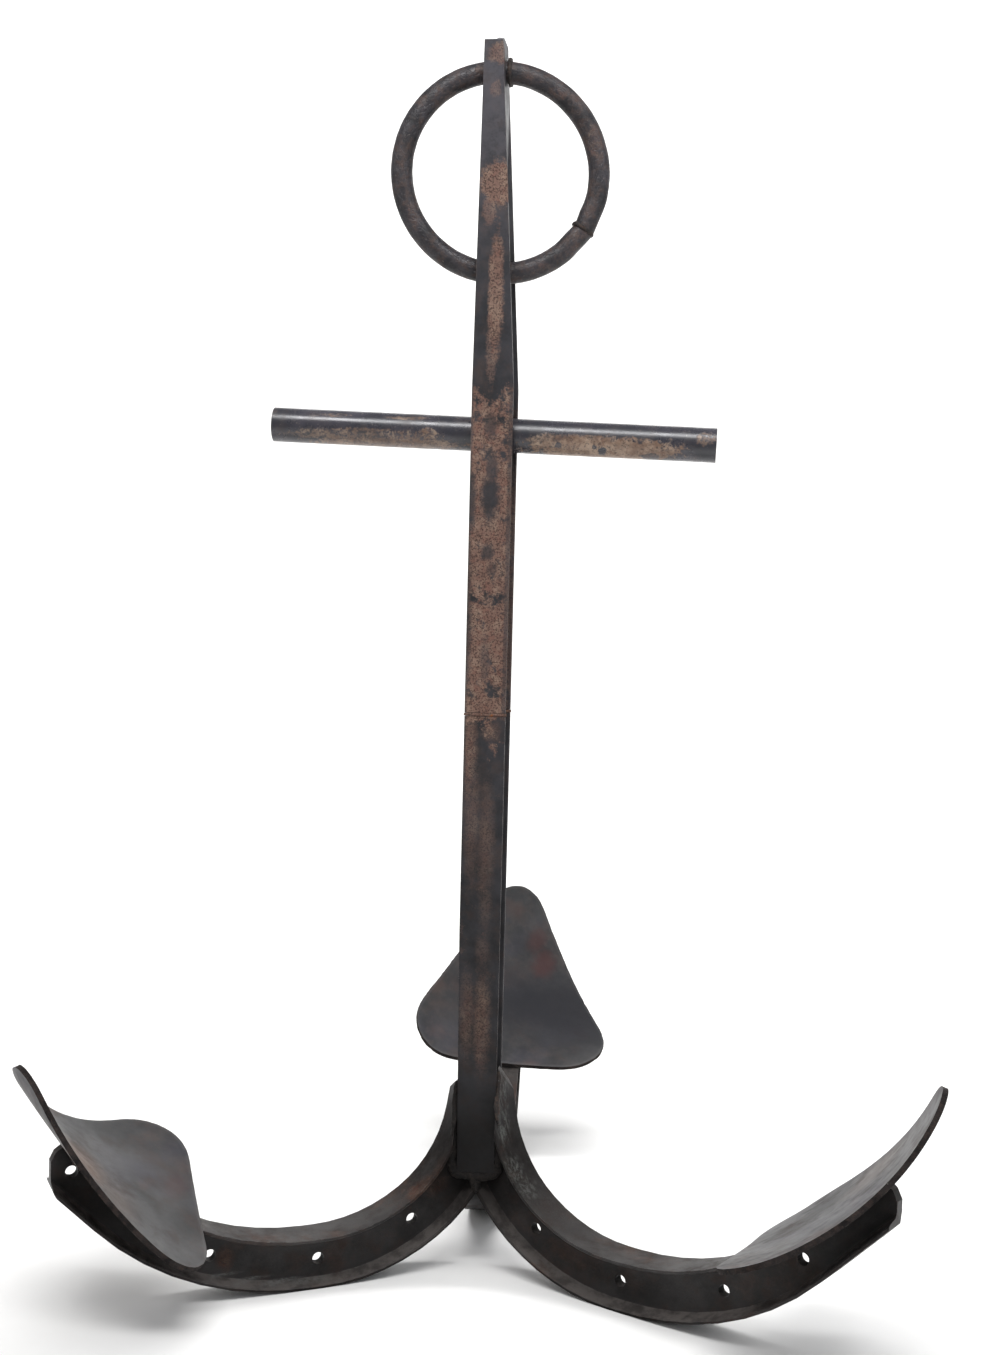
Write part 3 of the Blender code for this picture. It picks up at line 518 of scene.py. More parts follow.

# %% [markdown]
# The rust's mask comes first. The ramp says how much of each height is covered, and clumps of noise are cut
# off at that level, so rust spreads in islands where it is thin and leaves islands of scale where it is
# thick. Then the marks are added, and the dark places, the flange's edges and the painted shade in the
# recesses are taken away.

# %% Where rust lies on the shank
RAMP_TOP = 1.9  # the height that the ramp's right end stands for
RUST_BY_HEIGHT = [
    (0.00, 0.02), (0.165, 0.05), (0.235, 0.16), (0.33, 0.20), (0.415, 0.28), (0.442, 0.40), (0.449, 0.95),
    (0.60, 0.96), (0.675, 0.88), (0.70, 0.50), (0.718, 0.14), (0.78, 0.06), (1.00, 0.04),
]
FACE_MIDDLE = -0.0015  # where the front face's middle lies beside the axis
tree = begin("shank_steel")
height_up = axis_value(tree, "Z")
aside = sums("SUBTRACT", axis_value(tree, "X"), SHANK_X)
scale_skin = use(tree, mill_scale, Scale=16.0, Warmth=0.55)
rusty = use(tree, rust, Scale=52.0, Pitting=0.62)
cover = ramp(sums("DIVIDE", height_up, RAMP_TOP), RUST_BY_HEIGHT)
clumps = spots(tree, 30.0, 0.78, 0.30, 0.70)
edge_of_rust = sums("SUBTRACT", 1.0, cover)
spread = between(clumps, edge_of_rust, sums("ADD", edge_of_rust, 0.34))
spread = times(spread, between(cover, 0.02, 0.25))
spread = most(spread, marks(tree, FRONT_MARKS))
spread = most(spread, marks(tree, LOW_MARKS, 0.55, 0.75))
spread = without(spread, marks(tree, BARE_OF_RUST, 0.55, 0.45))
margin = between(sums("ABSOLUTE", sums("SUBTRACT", aside, FACE_MIDDLE)), 0.0245, 0.0285)
spread = without(spread, margin, 0.6)
# painted shade in the recesses, from ambient occlusion; rust is kept off it
recess_shade = use(tree, recess_shading, Reach=0.045, Strength=0.92)["Mask"]
spread = without(spread, recess_shade, 0.8)
print("rust levels by height:", len(RUST_BY_HEIGHT))

# %% [markdown]
# Now the colours go on in layers, from the bottom up: scale, which hands have polished paler near the ring,
# then rust, then painted shade, darker towards the foot and in the recesses, then bare steel along the
# corners. A painted highlight runs up the right edge of the flange above the stock, where the edge catches
# the light.

# %% The shank's layers
HANDLED_SCALE = (0.066, 0.062, 0.072)
BARE_CORNER = (0.22, 0.19, 0.17)
EDGE_GLEAM_GREY = (0.55, 0.53, 0.50)
# painted shade: full below 0.2 m, fading out by 0.42 m, with a lighter shade up to 0.8 m
low_shade = most(between(height_up, 0.42, 0.20), between(height_up, 0.80, 0.50, 0.0, 0.38))
handled = times(between(height_up, 1.40, 1.75), between(clumps, 0.1, 0.8, 0.25, 0.65))
colour = blend(handled, scale_skin["Color"], HANDLED_SCALE)
colour = blend(spread, colour, rusty["Color"])
# painted shade, from the recesses and towards the foot
colour = blend(most(recess_shade, times(low_shade, 0.88)), colour, SHADE_BLACK)
worn = without(wear(tree, 0.0016, 90.0, 0.44), low_shade)
colour = tint(colour, worn, 0.55, BARE_CORNER)
# painted highlight: a thin pale line on the flange's right edge, from 1.45 m up, where the edge catches the
# light
edge_gleam = times(between(aside, 0.0296, 0.0306), between(height_up, 1.45, 1.50))
edge_gleam = times(edge_gleam, between(clumps, 0.25, 0.6))
colour = blend(edge_gleam, colour, EDGE_GLEAM_GREY)
print("soot and bare corners added")

# %% [markdown]
# Rust and the painted shade towards the foot are rougher than scale and reflect less, and rust stands
# proud of it.

# %% Finish the shank's steel
rough = raised(low_shade, 0.20, raised(spread, 0.30, scale_skin["Roughness"]))
relief = raised(times(spread, 1.6), rusty["Height"], scale_skin["Height"])
shine = raised(most(low_shade, spread), -0.18, 0.30)
shank_steel = finish("shank_steel", colour, rough, relief, 0.55, shine=shine)
print("material:", shank_steel.name)

# %% [markdown]
# ### The arms
#
# The arms kept more of their scale than the shank, because they were heated to bend them. The flanges have
# a thin brown bloom where hands and weather reach them, and the webs between are painted nearly black as
# shade. The lists give the places that stand out: each is a centre, a size and a strength.

# %% The arms' marks
# worn lines, with a painted highlight along the lower flange's ridges
RUB_AND_GLEAM_LINES = [  # rubbed along the left arm's lower flange
    ((-0.3640, -0.352, 0.0325), (0.022, 0.03, 0.0024), 0.60),
    ((-0.3270, -0.332, 0.0205), (0.024, 0.03, 0.0024), 0.75),
    ((-0.2860, -0.312, 0.0120), (0.026, 0.03, 0.0022), 0.85),
    ((-0.2480, -0.296, 0.0088), (0.026, 0.03, 0.0020), 0.65),
]
SCUFFED = [  # grey, scratched places on the right arm's head
    ((0.0250, -0.168, 0.2700), (0.009, 0.018, 0.034), 0.80),
    ((0.0290, -0.182, 0.2250), (0.009, 0.018, 0.030), 0.75),
    ((0.0480, -0.200, 0.1620), (0.016, 0.018, 0.026), 0.65),
    ((0.0700, -0.208, 0.1380), (0.018, 0.020, 0.016), 0.45),
]
BROWN_MARKS = [  # patches of brown rust
    ((-0.0900, -0.2230, 0.1330), (0.034, 0.022, 0.020), 0.90),
    ((-0.0640, -0.2150, 0.1560), (0.014, 0.020, 0.022), 0.60),
    ((-0.0720, -0.1950, 0.1290), (0.020, 0.030, 0.016), 0.70),
    ((-0.3600, -0.3510, 0.0560), (0.012, 0.020, 0.016), 0.80),
    ((-0.2190, -0.2730, 0.0400), (0.012, 0.020, 0.014), 0.35),
    ((0.1546, -0.2540, 0.0560), (0.050, 0.030, 0.016), 0.30),
]
print("marks on the arms:", len(RUB_AND_GLEAM_LINES) + len(SCUFFED) + len(BROWN_MARKS))

# %% [markdown]
# Faces that look up catch the weather, so the surface's own direction drives the brown bloom. Painted shade
# darkens the steel round the crown, and fades over some ten centimetres.

# %% Bloom and painted shade on the arms
CROWN_SHADE_REACH = (0.105, 0.105, 0.090)
WEATHERED_SCALE = (0.024, 0.021, 0.020)
tree = begin("arm_steel")
scale_skin = use(tree, mill_scale, Dark=(0.0105, 0.0095, 0.0098), Light=(0.032, 0.029, 0.029),
                 Warm=(0.042, 0.027, 0.022), Scale=14.0, Warmth=0.75)
rusty = use(tree, rust, Body=(0.062, 0.034, 0.025), Bloom=(0.110, 0.068, 0.049), Red=(0.085, 0.032, 0.022),
            Scale=48.0, Pitting=0.60)
bloom = spots(tree, 11.0, 0.7, 0.50, 0.72)
around_crown = {"Centre": tuple(CROWN), "Size": CROWN_SHADE_REACH}
# painted shade round the crown, where the arms meet, fading over some ten centimetres
low_shade = use(tree, patch, Ragged=0.30, Grain=24.0, Soft=0.6, **around_crown)["Mask"]
faces_up = add(tree, "SeparateXYZ", Vector=add(tree, "NewGeometry").outputs["Normal"]).outputs["Z"]
weathered = between(faces_up, -0.10, 0.55)
bloom = times(bloom, raised(weathered, 0.35, 0.35))
bloom = most(bloom, strongest(tree, BROWN_MARKS, 0.5, 60.0, 0.5))
# painted shade in the recesses, from ambient occlusion; it also holds the bloom back
recess_shade = use(tree, recess_shading, Reach=0.05, Strength=0.95)["Mask"]
bloom = without(bloom, recess_shade, 0.6)
colour = tint(scale_skin["Color"], weathered, 0.75, WEATHERED_SCALE)
colour = blend(bloom, colour, rusty["Color"])
colour = blend(most(recess_shade, times(low_shade, 0.80)), colour, SHADE_BLACK)
print("bloom and soot added")

# %% [markdown]
# Between its flanges a joist is shut in. There the upright web is painted near black as shade, and the
# lower flange's slope, which faces up like a gutter towards the light, is painted greyer as light. Both
# masks multiply how shut in a point is by the way that it faces.

# %% The arms' shaded webs and lit gutters
WEB_SHADE_BLACK = (0.0040, 0.0036, 0.0034)
GUTTER_LIGHT_GREY = (0.084, 0.075, 0.070)
enclosed = use(tree, recess_shading, Reach=0.12, Strength=1.0)["Mask"]
upright = between(sums("ABSOLUTE", faces_up), 0.25, 0.05)
# painted shade: upright, shut-in faces, the webs, are darkened to near black
web_shade = times(upright, between(enclosed, 0.20, 0.60))
colour = tint(colour, web_shade, 0.65, WEB_SHADE_BLACK)
# painted light: the lower flange's slope faces up to the light and is painted greyer
lit_gutter = times(between(faces_up, 0.25, 0.85), between(enclosed, 0.05, 0.30))
streaks = spots(tree, 30.0, 0.7, 0.30, 0.65)
lit_gutter = times(lit_gutter, between(streaks, 0.0, 1.0, 0.30, 1.0))
lit_gutter = without(lit_gutter, low_shade, 0.6)
colour = blend(lit_gutter, colour, GUTTER_LIGHT_GREY)
print("webs and gutters added")

# %% [markdown]
# Rubbed and scuffed places are patches filled with fine scratches. The rubbed lines on the left arm's
# lower flange are also a painted highlight along its ridges. Stretching the noise turns its blotches into
# strokes: level ones along the flange, and upright ones on the arm's head.

# %% Rubbed and scuffed places
RUB_AND_GLEAM_GREY = (0.115, 0.115, 0.110)
SCUFFED_GREY = (0.100, 0.104, 0.096)
ARM_CORNER = (0.17, 0.155, 0.145)
scratches = spots(tree, 420.0, 0.8, 0.36, 0.62, Stretch=(0.35, 0.35, 1.0))
# rubbed wear and a painted highlight along the left arm's lower flange
rub_and_gleam = times(strongest(tree, RUB_AND_GLEAM_LINES, 0.25, 240.0, 0.7), scratches)
colour = blend(rub_and_gleam, colour, RUB_AND_GLEAM_GREY)
scrapes = spots(tree, 150.0, 0.8, 0.44, 0.62, Stretch=(1.0, 1.0, 0.3))
scuffed = times(strongest(tree, SCUFFED, 0.35, 80.0, 0.6), scrapes)
colour = blend(scuffed, colour, SCUFFED_GREY)
worn = without(wear(tree, 0.0016, 60.0, 0.42), low_shade, 0.8)
colour = tint(colour, worn, 0.55, ARM_CORNER)
print("rubbed places:", len(RUB_AND_GLEAM_LINES), "scuffed places:", len(SCUFFED))

# %% [markdown]
# Roughness, relief and shine follow the same masks. The painted shade round the crown and in the recesses,
# and the webs painted black as shade, hardly reflect.

# %% Finish the arms' steel
rough = raised(low_shade, 0.15, raised(bloom, 0.25, scale_skin["Roughness"]))
relief = raised(times(bloom, 1.2), rusty["Height"], scale_skin["Height"])
relief = raised(most(rub_and_gleam, scuffed), 1.5, relief)
rough = raised(weathered, 0.10, rough)
shine = raised(most(low_shade, recess_shade), -0.22, 0.27)
shine = raised(weathered, -0.05, shine)
shine = without(shine, web_shade, 0.7)
arm_steel = finish("arm_steel", colour, rough, relief, 0.5, shine=shine)
print("material:", arm_steel.name)

# %% [markdown]
# ### The flukes
#
# The plates are smoother than the joist, a satin charcoal with a faint play of brown, violet and blue from
# the heat of bending. Larger stains have places of their own, and a painted shade darkens the rear plate's
# low part. Each is a centre, a size and a strength.

# %% The flukes' stains
BROWN_STAINS = [
    ((-0.535, -0.480, 0.232), (0.050, 0.060, 0.035), 0.75),
    ((-0.480, -0.500, 0.190), (0.040, 0.050, 0.030), 0.30),
    ((0.560, -0.410, 0.270), (0.050, 0.040, 0.050), 0.25),
]
RED_STAINS = [
    ((0.024, 0.560, 0.300), (0.020, 0.05, 0.024), 0.50),
    ((0.008, 0.580, 0.340), (0.016, 0.05, 0.022), 0.45),
    ((-0.440, -0.330, 0.150), (0.016, 0.03, 0.020), 0.30),
]
SHADE_AND_DARK_PATCHES = [
    # painted shade on the rear plate's low part
    ((0.050, 0.490, 0.225), (0.210, 0.085, 0.080), 0.92),
    # a dark patch low on the right plate
    ((0.480, -0.330, 0.180), (0.100, 0.045, 0.060), 0.45),
]
print("stains:", len(BROWN_STAINS) + len(RED_STAINS) + len(SHADE_AND_DARK_PATCHES))

# %% [markdown]
# The plates' layers go from broad and faint to small and strong. Shifting the noise keeps two layers of
# blotches from lying on top of each other. A pale, scoured band runs just inside the rim.

# %% The flukes' plate
tree = begin("fluke_scale")
scale_skin = use(tree, mill_scale, Dark=(0.021, 0.021, 0.022), Light=(0.047, 0.046, 0.047),
                 Warm=(0.056, 0.041, 0.037), Scale=6.5, Warmth=0.60)
stain = spots(tree, 9.0, 0.55, 0.48, 0.70, Shift=(3.0, 1.0, 2.0))
blush = spots(tree, 13.0, 0.5, 0.55, 0.74, Shift=(7.0, 5.0, 1.0))
smears = spots(tree, 60.0, 0.7, 0.40, 0.75)
colour = tint(scale_skin["Color"], stain, 0.55, (0.040, 0.038, 0.048))
colour = tint(colour, blush, 0.45, (0.078, 0.048, 0.042))
colour = tint(colour, smears, 0.22, (0.085, 0.078, 0.074))
for places, ragged, grain, soft, tone in (
    # painted shade on the rear plate's low part, and a dark patch on the right plate
    (SHADE_AND_DARK_PATCHES, 0.30, 20.0, 0.7, (0.016, 0.016, 0.019)),
    (BROWN_STAINS, 0.40, 30.0, 0.7, (0.105, 0.060, 0.040)),
    (RED_STAINS, 0.45, 45.0, 0.6, (0.060, 0.020, 0.018)),
):
    colour = blend(strongest(tree, places, ragged, grain, soft), colour, tone)
scoured = wear(tree, 0.012, 38.0, 0.34)
colour = tint(colour, scoured, 0.35, (0.12, 0.115, 0.115))
worn = wear(tree, 0.0016, 85.0, 0.40)
colour = tint(colour, worn, 0.5, (0.15, 0.14, 0.13))
rough = raised(smears, 0.10, scale_skin["Roughness"])
fluke_scale = finish("fluke_scale", colour, rough, scale_skin["Height"], 0.30, shine=0.23)
print("material:", fluke_scale.name)

# %% [markdown]
# The rims were burned through with a torch. The flame leaves a darker, coarser face, with a few bright
# beads of metal on it.

# %% The torch-cut rim
tree = begin("torch_cut")
scale_skin = use(tree, mill_scale, Dark=(0.008, 0.007, 0.007), Light=(0.024, 0.020, 0.019), Scale=40.0)
flecks = spots(tree, 240.0, 0.75, 0.56, 0.66)
colour = tint(scale_skin["Color"], flecks, 0.5, (0.070, 0.046, 0.035))
worn = wear(tree, 0.0014, 110.0, 0.50)
colour = tint(colour, worn, 0.45, (0.17, 0.155, 0.14))
bright = spots(tree, 210.0, 0.6, 0.70, 0.74)
colour = blend(bright, colour, (0.55, 0.53, 0.50))
grooves = spots(tree, 420.0, 0.5, 0.3, 0.7)
torch_cut = finish("torch_cut", colour, 0.78, grooves, 0.9, shine=0.12)
print("material:", torch_cut.name)

# %% [markdown]
# ### The stock
#
# The pipe's blue skin has come away in two large areas, low on the left and across most of the right. The
# places are measured along the pipe from its middle, and up from its axis, and a helper turns them into
# patches on the front of the pipe, which droops a little to the right.

# %% The stock's bare places
BARE_ON_STOCK = [  # offset along the pipe, and up; half length, half height; strength
    (0.165, -0.016, 0.112, 0.019, 1.0), (0.130, -0.004, 0.060, 0.009, 0.85),  # the large one on the right
    (0.080, -0.008, 0.026, 0.014, 0.80), (0.318, 0.008, 0.016, 0.010, 0.60),  # where it starts, and the end
    (-0.165, -0.022, 0.125, 0.009, 0.86), (-0.200, -0.010, 0.110, 0.009, 0.66),  # low on the left
    (-0.098, -0.004, 0.016, 0.008, 0.80),
    (-0.130, 0.018, 0.030, 0.003, 0.60), (-0.245, 0.017, 0.025, 0.003, 0.50),  # flakes along its top
]
LEFT_ON_STOCK = [  # spots of scale that still hold inside the bare steel
    (0.163, -0.017, 0.006, 0.006, 0.95), (0.152, -0.012, 0.004, 0.003, 0.80),
    (0.098, -0.012, 0.005, 0.004, 0.80), (0.235, -0.022, 0.014, 0.005, 0.70),
]
DROOP = 0.02863  # the pipe falls this much per metre to the right


def pipe_places(tree, places, ragged, grain):
    """The strongest of the places on the front of the pipe."""
    listed = []
    for along, up, long, tall, strength in places:
        centre = STOCK_CENTRE + Vector((along, -0.024, up - along * DROOP))
        listed.append((centre, (long, 0.05, tall), strength))
    return strongest(tree, listed, ragged, grain, 0.12)


print("bare places:", len(BARE_ON_STOCK), "spots of scale:", len(LEFT_ON_STOCK))

# %% [markdown]
# Bare, tan steel shows in those places, with crumbs of scale left along the rim, where the mask is between
# none and full. The pipe is the glossiest piece, so its roughness is lowered.

# %% The stock's scale
tree = begin("pipe_scale")
scale_skin = use(tree, mill_scale, Dark=(0.014, 0.014, 0.020), Light=(0.042, 0.039, 0.050),
                 Scale=20.0, Warmth=0.35)
bared = use(tree, rust, Body=(0.172, 0.104, 0.069), Bloom=(0.350, 0.252, 0.182), Red=(0.150, 0.078, 0.048),
            Pit=(0.024, 0.018, 0.018), Scale=34.0, Pitting=0.45)
gone = pipe_places(tree, BARE_ON_STOCK, 0.55, 95.0)
gone = without(gone, pipe_places(tree, LEFT_ON_STOCK, 0.6, 160.0))
crumbs = spots(tree, 150.0, 0.8, 0.48, 0.53)
gone = without(gone, times(crumbs, between(gone, 1.0, 0.7)), 0.95)
colour = blend(gone, scale_skin["Color"], bared["Color"])
dusty = spots(tree, 34.0, 0.8, 0.56, 0.72)
colour = tint(colour, dusty, 0.30, (0.130, 0.092, 0.070))
flecks = spots(tree, 260.0, 0.7, 0.63, 0.68)
colour = tint(colour, flecks, 0.6, (0.30, 0.255, 0.215))
worn = wear(tree, 0.0015, 90.0, 0.38)
colour = tint(colour, worn, 0.8, (0.42, 0.39, 0.35))
rough = sums("SUBTRACT", scale_skin["Roughness"], 0.19)
rough = raised(gone, 0.10, raised(dusty, 0.12, rough))
relief = raised(gone, -0.8, scale_skin["Height"])
metallic = raised(gone, 0.15, 0.10)
pipe_scale = finish("pipe_scale", colour, rough, relief, 0.45, metallic=metallic, shine=0.80)
print("material:", pipe_scale.name)

# %% [markdown]
# ### The ring
#
# The ring is round bar, bent hot, so its scale is rough and cracked, with brown rust between and pale flecks
# where it has chipped. The cracks are the edges of Voronoi cells.

# %% The ring's scale
tree = begin("ring_scale")
scale_skin = use(tree, mill_scale, Dark=(0.009, 0.008, 0.010), Light=(0.037, 0.033, 0.038),
                 Warm=(0.052, 0.031, 0.025), Scale=34.0, Warmth=0.85)
rusty = use(tree, rust, Body=(0.070, 0.039, 0.029), Bloom=(0.135, 0.086, 0.060), Scale=70.0, Pitting=0.7)
bloom = times(spots(tree, 17.0, 0.8, 0.54, 0.66), 0.55)
colour = blend(bloom, scale_skin["Color"], rusty["Color"])
cracks = add(tree, "TexVoronoi", {"feature": "DISTANCE_TO_EDGE"}, Vector=here(tree), Scale=150.0)
crack = between(cracks.outputs["Distance"], 0.09, 0.0)
relief = sums("SUBTRACT", scale_skin["Height"], times(crack, 0.35))
rough = sums("ADD", scale_skin["Roughness"], times(bloom, 0.25))
flecks = spots(tree, 230.0, 0.7, 0.62, 0.68)
colour = tint(colour, flecks, 0.55, (0.170, 0.130, 0.105))
rough = sums("SUBTRACT", rough, 0.06)
ring_scale = finish("ring_scale", colour, rough, relief, 0.85, 0.0011, 0.05, 0.42)
print("material:", ring_scale.name)

# %% [markdown]
# ### The welds
#
# A stick weld leaves a lumpy bead with a skin of dark slag, and rust creeps over it. The droplets that fly
# off stay bright for years.

# %% The weld metal
tree = begin("weld_slag")
rusty = use(tree, rust, Body=(0.036, 0.024, 0.019), Bloom=(0.075, 0.052, 0.040), Red=(0.060, 0.027, 0.019),
            Scale=110.0)
slag = spots(tree, 150.0, 0.7, 0.40, 0.58)
colour = tint(rusty["Color"], slag, 0.85, (0.014, 0.013, 0.013))
bright = spots(tree, 320.0, 0.7, 0.60, 0.70)
colour = tint(colour, bright, 0.55, (0.24, 0.24, 0.23))
weld_slag = finish("weld_slag", colour, 0.58, rusty["Height"], 0.9, 0.001, shine=0.35)
print("material:", weld_slag.name)

# %% [markdown]
# At the crown the beads are painted near-black as shade, with a few grey flecks on it. The weld that splices
# the shank was ground nearly flush, and has rusted orange.

# %% The crown's painted shade and the splice's rust
tree = begin("crown_shade")
burnt = spots(tree, 70.0, 0.75, 0.35, 0.70)
colour = blend(burnt, SHADE_BLACK, (0.021, 0.017, 0.015))
grey = spots(tree, 210.0, 0.75, 0.62, 0.72)
colour = tint(colour, grey, 0.35, (0.085, 0.082, 0.078))
crown_shade = finish("crown_shade", colour, 0.74, burnt, 0.9, 0.0015, shine=0.15)

tree = begin("splice_rust")
rusty = use(tree, rust, Scale=60.0, Pitting=0.70)
orange = spots(tree, 95.0, 0.6, 0.56, 0.64)
colour = tint(rusty["Color"], orange, 0.75, (0.30, 0.105, 0.035))
splice_rust = finish("splice_rust", colour, 0.72, rusty["Height"], 0.8, 0.001, shine=0.15)
print("materials:", crown_shade.name, splice_rust.name)

# %% [markdown]
# ## Dressing the solids
#
# These helpers open a solid as a mesh that can be edited, say which of its edges stay sharp, and link the
# result as a new piece. The new piece stands in for the solid, which isn't changed.

# %% Mesh helpers
TOUCHING = 0.00001  # corners nearer than this are one


def dress(obj, material):
    """Give a piece one material."""
    obj.data.materials.clear()
    obj.data.materials.append(material)


def put(name, mesh, material, slot, *stands_for):
    """Link a new piece that rides on the anchor, in place of the named solids."""
    obj = new_object(name, mesh)
    dress(obj, material)
    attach(obj, "root")
    if stands_for:
        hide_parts(*stands_for)
    return obj


def soften(bm, limit):
    """Shade every face softly, and mark as sharp the edges that turn by more than a limit."""
    for face in bm.faces:
        face.smooth = True
    for edge in bm.edges:
        edge.smooth = len(edge.link_faces) == 2 and edge.calc_face_angle(0.0) < limit


def open_solid(name):
    """A node's solid as a bmesh, with its shared corners joined up."""
    bm = bmesh.new()
    bm.from_mesh(nodes[name].data)
    bmesh.ops.remove_doubles(bm, verts=bm.verts, dist=TOUCHING)
    return bm


def close_mesh(name, bm):
    """A bmesh turned into a mesh."""
    mesh = bpy.data.meshes.new(name)
    bm.to_mesh(mesh)
    bm.free()
    return mesh


def join_loops(bm, loops):
    """Skin the space between each loop of vertices and the next, with every face looking out."""
    for near, far in zip(loops, loops[1:]):
        for j in range(len(near)):
            k = (j + 1) % len(near)
            bm.faces.new((near[j], near[k], far[k], far[j]))
    bmesh.ops.recalc_face_normals(bm, faces=bm.faces)


print("mesh helpers ready")

# %% [markdown]
# The joists and the pipe already have their true shape. Each gets a copy whose bends are shaded softly while
# its rolled and sawn corners stay sharp, because a bend in steel is one smooth sweep and not a row of flats.

# %% Soft bends, sharp corners
FINISHES = {
    "shank_upper": shank_steel, "shank_lower": shank_steel, "arm_left": arm_steel, "arm_right": arm_steel,
    "arm_rear": arm_steel, "stock": pipe_scale,
}
SHARP = math.radians(24)
for name, material in FINISHES.items():
    bm = open_solid(name)
    soften(bm, SHARP)
    slot_name = "scaled_bar" if name == "stock" else "rusted_joist"
    put(f"{name}_steel", close_mesh(name, bm), material, slot_name, name)
print("dressed:", len(FINISHES))

# %% [markdown]
# ## The ring's bar
#
# Round bar is heated and wrapped round a former, then its ends are pulled together and welded. The circle is
# never perfect: it runs flatter just beside the joint, which leaves a slight corner there. The ring is a
# circle swept along a nearly round path, with a little unevenness in the bar where scale has come off.

# %% Make the ring
RING_RADIUS = 0.147
BAR_RADIUS = 0.0163
RING_TURN = math.radians(10)
RING_STEPS, BAR_SIDES = 168, 28
JOINT = math.radians(-32)
JOINT_REACH = 0.17  # radians to each side of the joint
JOINT_CORNER = 0.0011
UNEVEN = 0.0003
SLIMMER = 0.0002  # taken off the bar, so that its bumps stay inside the solid


def ring_point(around, across):
    """A point on the ring's skin: around the ring, then round the bar."""
    from_joint = (around - JOINT + math.pi) % (2 * math.pi) - math.pi
    corner = JOINT_CORNER * math.exp(-(from_joint / (JOINT_REACH * 0.35)) ** 2)
    flat = JOINT_CORNER * math.exp(-((abs(from_joint) - JOINT_REACH) / (JOINT_REACH * 0.5)) ** 2)
    path = RING_RADIUS + corner - flat
    out = Vector((math.cos(around), 0, math.sin(around)))
    middle = out * path
    skin = out * math.cos(across) + Vector((0, 1, 0)) * math.sin(across)
    uneven = noise.noise((middle + skin * BAR_RADIUS) * 70) * UNEVEN
    return middle + skin * (BAR_RADIUS - SLIMMER + uneven)


bm = bmesh.new()
turn = Matrix.Rotation(RING_TURN, 4, "Z")
loops = []
for i in range(RING_STEPS):
    around = 2 * math.pi * i / RING_STEPS
    skin = [ring_point(around, 2 * math.pi * j / BAR_SIDES) for j in range(BAR_SIDES)]
    loops.append([bm.verts.new(RING_CENTRE + turn @ point) for point in skin])
join_loops(bm, loops + loops[:1])
soften(bm, math.pi)
ring = put("ring_bar", close_mesh("ring_bar", bm), ring_scale, "scaled_bar", "ring")
print("ring faces:", len(ring.data.polygons))

# %% [markdown]
# ## The flukes
#
# A torch cuts plate with a fluttering edge: the rim is full of fine, upright drag marks and small bites. The
# two broad faces are smoothed by subdividing them, with the rim's corners creased so that they stay crisp. A
# search that spreads from face to face, and stops at sharp corners, tells the broad faces from the rim.

# %% Smooth the plates
RIM_ANGLE = math.radians(48)  # sharper corners than this are the rim's
FLAT_ENOUGH = math.radians(20)  # triangles that meet flatter than this become a four-sided face
SQUARE_ENOUGH = math.radians(70)
ROUNDINGS = 2


def smooth_plate(name):
    """A fluke's solid as a mesh, with its broad faces smoothed."""
    bm = open_solid(name)
    bmesh.ops.dissolve_degenerate(bm, dist=TOUCHING, edges=bm.edges)
    bmesh.ops.join_triangles(bm, faces=bm.faces, angle_face_threshold=FLAT_ENOUGH,
                             angle_shape_threshold=SQUARE_ENOUGH)
    crease = bm.edges.layers.float.new("crease_edge")
    for edge in bm.edges:
        turned = len(edge.link_faces) == 2 and edge.calc_face_angle(0.0) > RIM_ANGLE
        edge[crease] = 1.0 if turned else 0.0
    shell = new_object(f"{name}_rough", close_mesh(f"{name}_rough", bm))
    rounding = shell.modifiers.new("rounding", "SUBSURF")
    rounding.levels = ROUNDINGS
    rounding.render_levels = ROUNDINGS
    rounding.uv_smooth = "NONE"
    ready = shell.evaluated_get(bpy.context.evaluated_depsgraph_get())
    smooth = bpy.data.meshes.new_from_object(ready)
    bpy.data.objects.remove(shell)
    return smooth


def broad_faces(bm):
    """The faces of the two largest patches, where a patch ends at sharp corners."""
    left = set(bm.faces)
    patches = []
    while left:
        start = left.pop()
        found, queue = {start}, [start]
        while queue:
            for edge in queue.pop().edges:
                if len(edge.link_faces) == 2 and edge.calc_face_angle(0.0) < RIM_ANGLE:
                    fresh = left.intersection(edge.link_faces)
                    left -= fresh
                    found |= fresh
                    queue.extend(fresh)
        patches.append(found)
    patches.sort(key=lambda found: -sum(face.calc_area() for face in found))
    return patches[0] | patches[1]


print("plates turn sharply at", round(math.degrees(RIM_ANGLE)), "degrees")

# %% [markdown]
# The rim's points are moved along the average of the rim faces' directions. Bites only go inwards, so the
# plate never grows past its solid.

# %% Dress the flukes
BITE, BITE_GRAIN = 0.0016, 95
FLUTTER, FLUTTER_GRAIN = 0.0005, 420
for side in ("left", "right", "rear"):
    name = f"fluke_{side}"
    bm = bmesh.new()
    bm.from_mesh(smooth_plate(name))
    broad = broad_faces(bm)
    rim = [face for face in bm.faces if face not in broad]
    outward = {}
    for face in rim:
        for vert in face.verts:
            outward[vert] = outward.get(vert, Vector()) + face.normal
    for vert, way in outward.items():
        bite = min(noise.noise(vert.co * BITE_GRAIN) * BITE, 0.0)
        flutter = noise.noise(vert.co * FLUTTER_GRAIN) * FLUTTER - FLUTTER
        vert.co += way.normalized() * (bite + flutter)
    soften(bm, RIM_ANGLE)
    kinds = [0 if face in broad else 1 for face in bm.faces]
    plate = put(f"{name}_plate", close_mesh(name, bm), fluke_scale, "fluke_plate", name)
    plate.data.materials.append(torch_cut)
    for polygon, kind in zip(plate.data.polygons, kinds):
        polygon.material_index = kind
    print(name, "faces:", len(kinds), "on the rim:", len(rim))

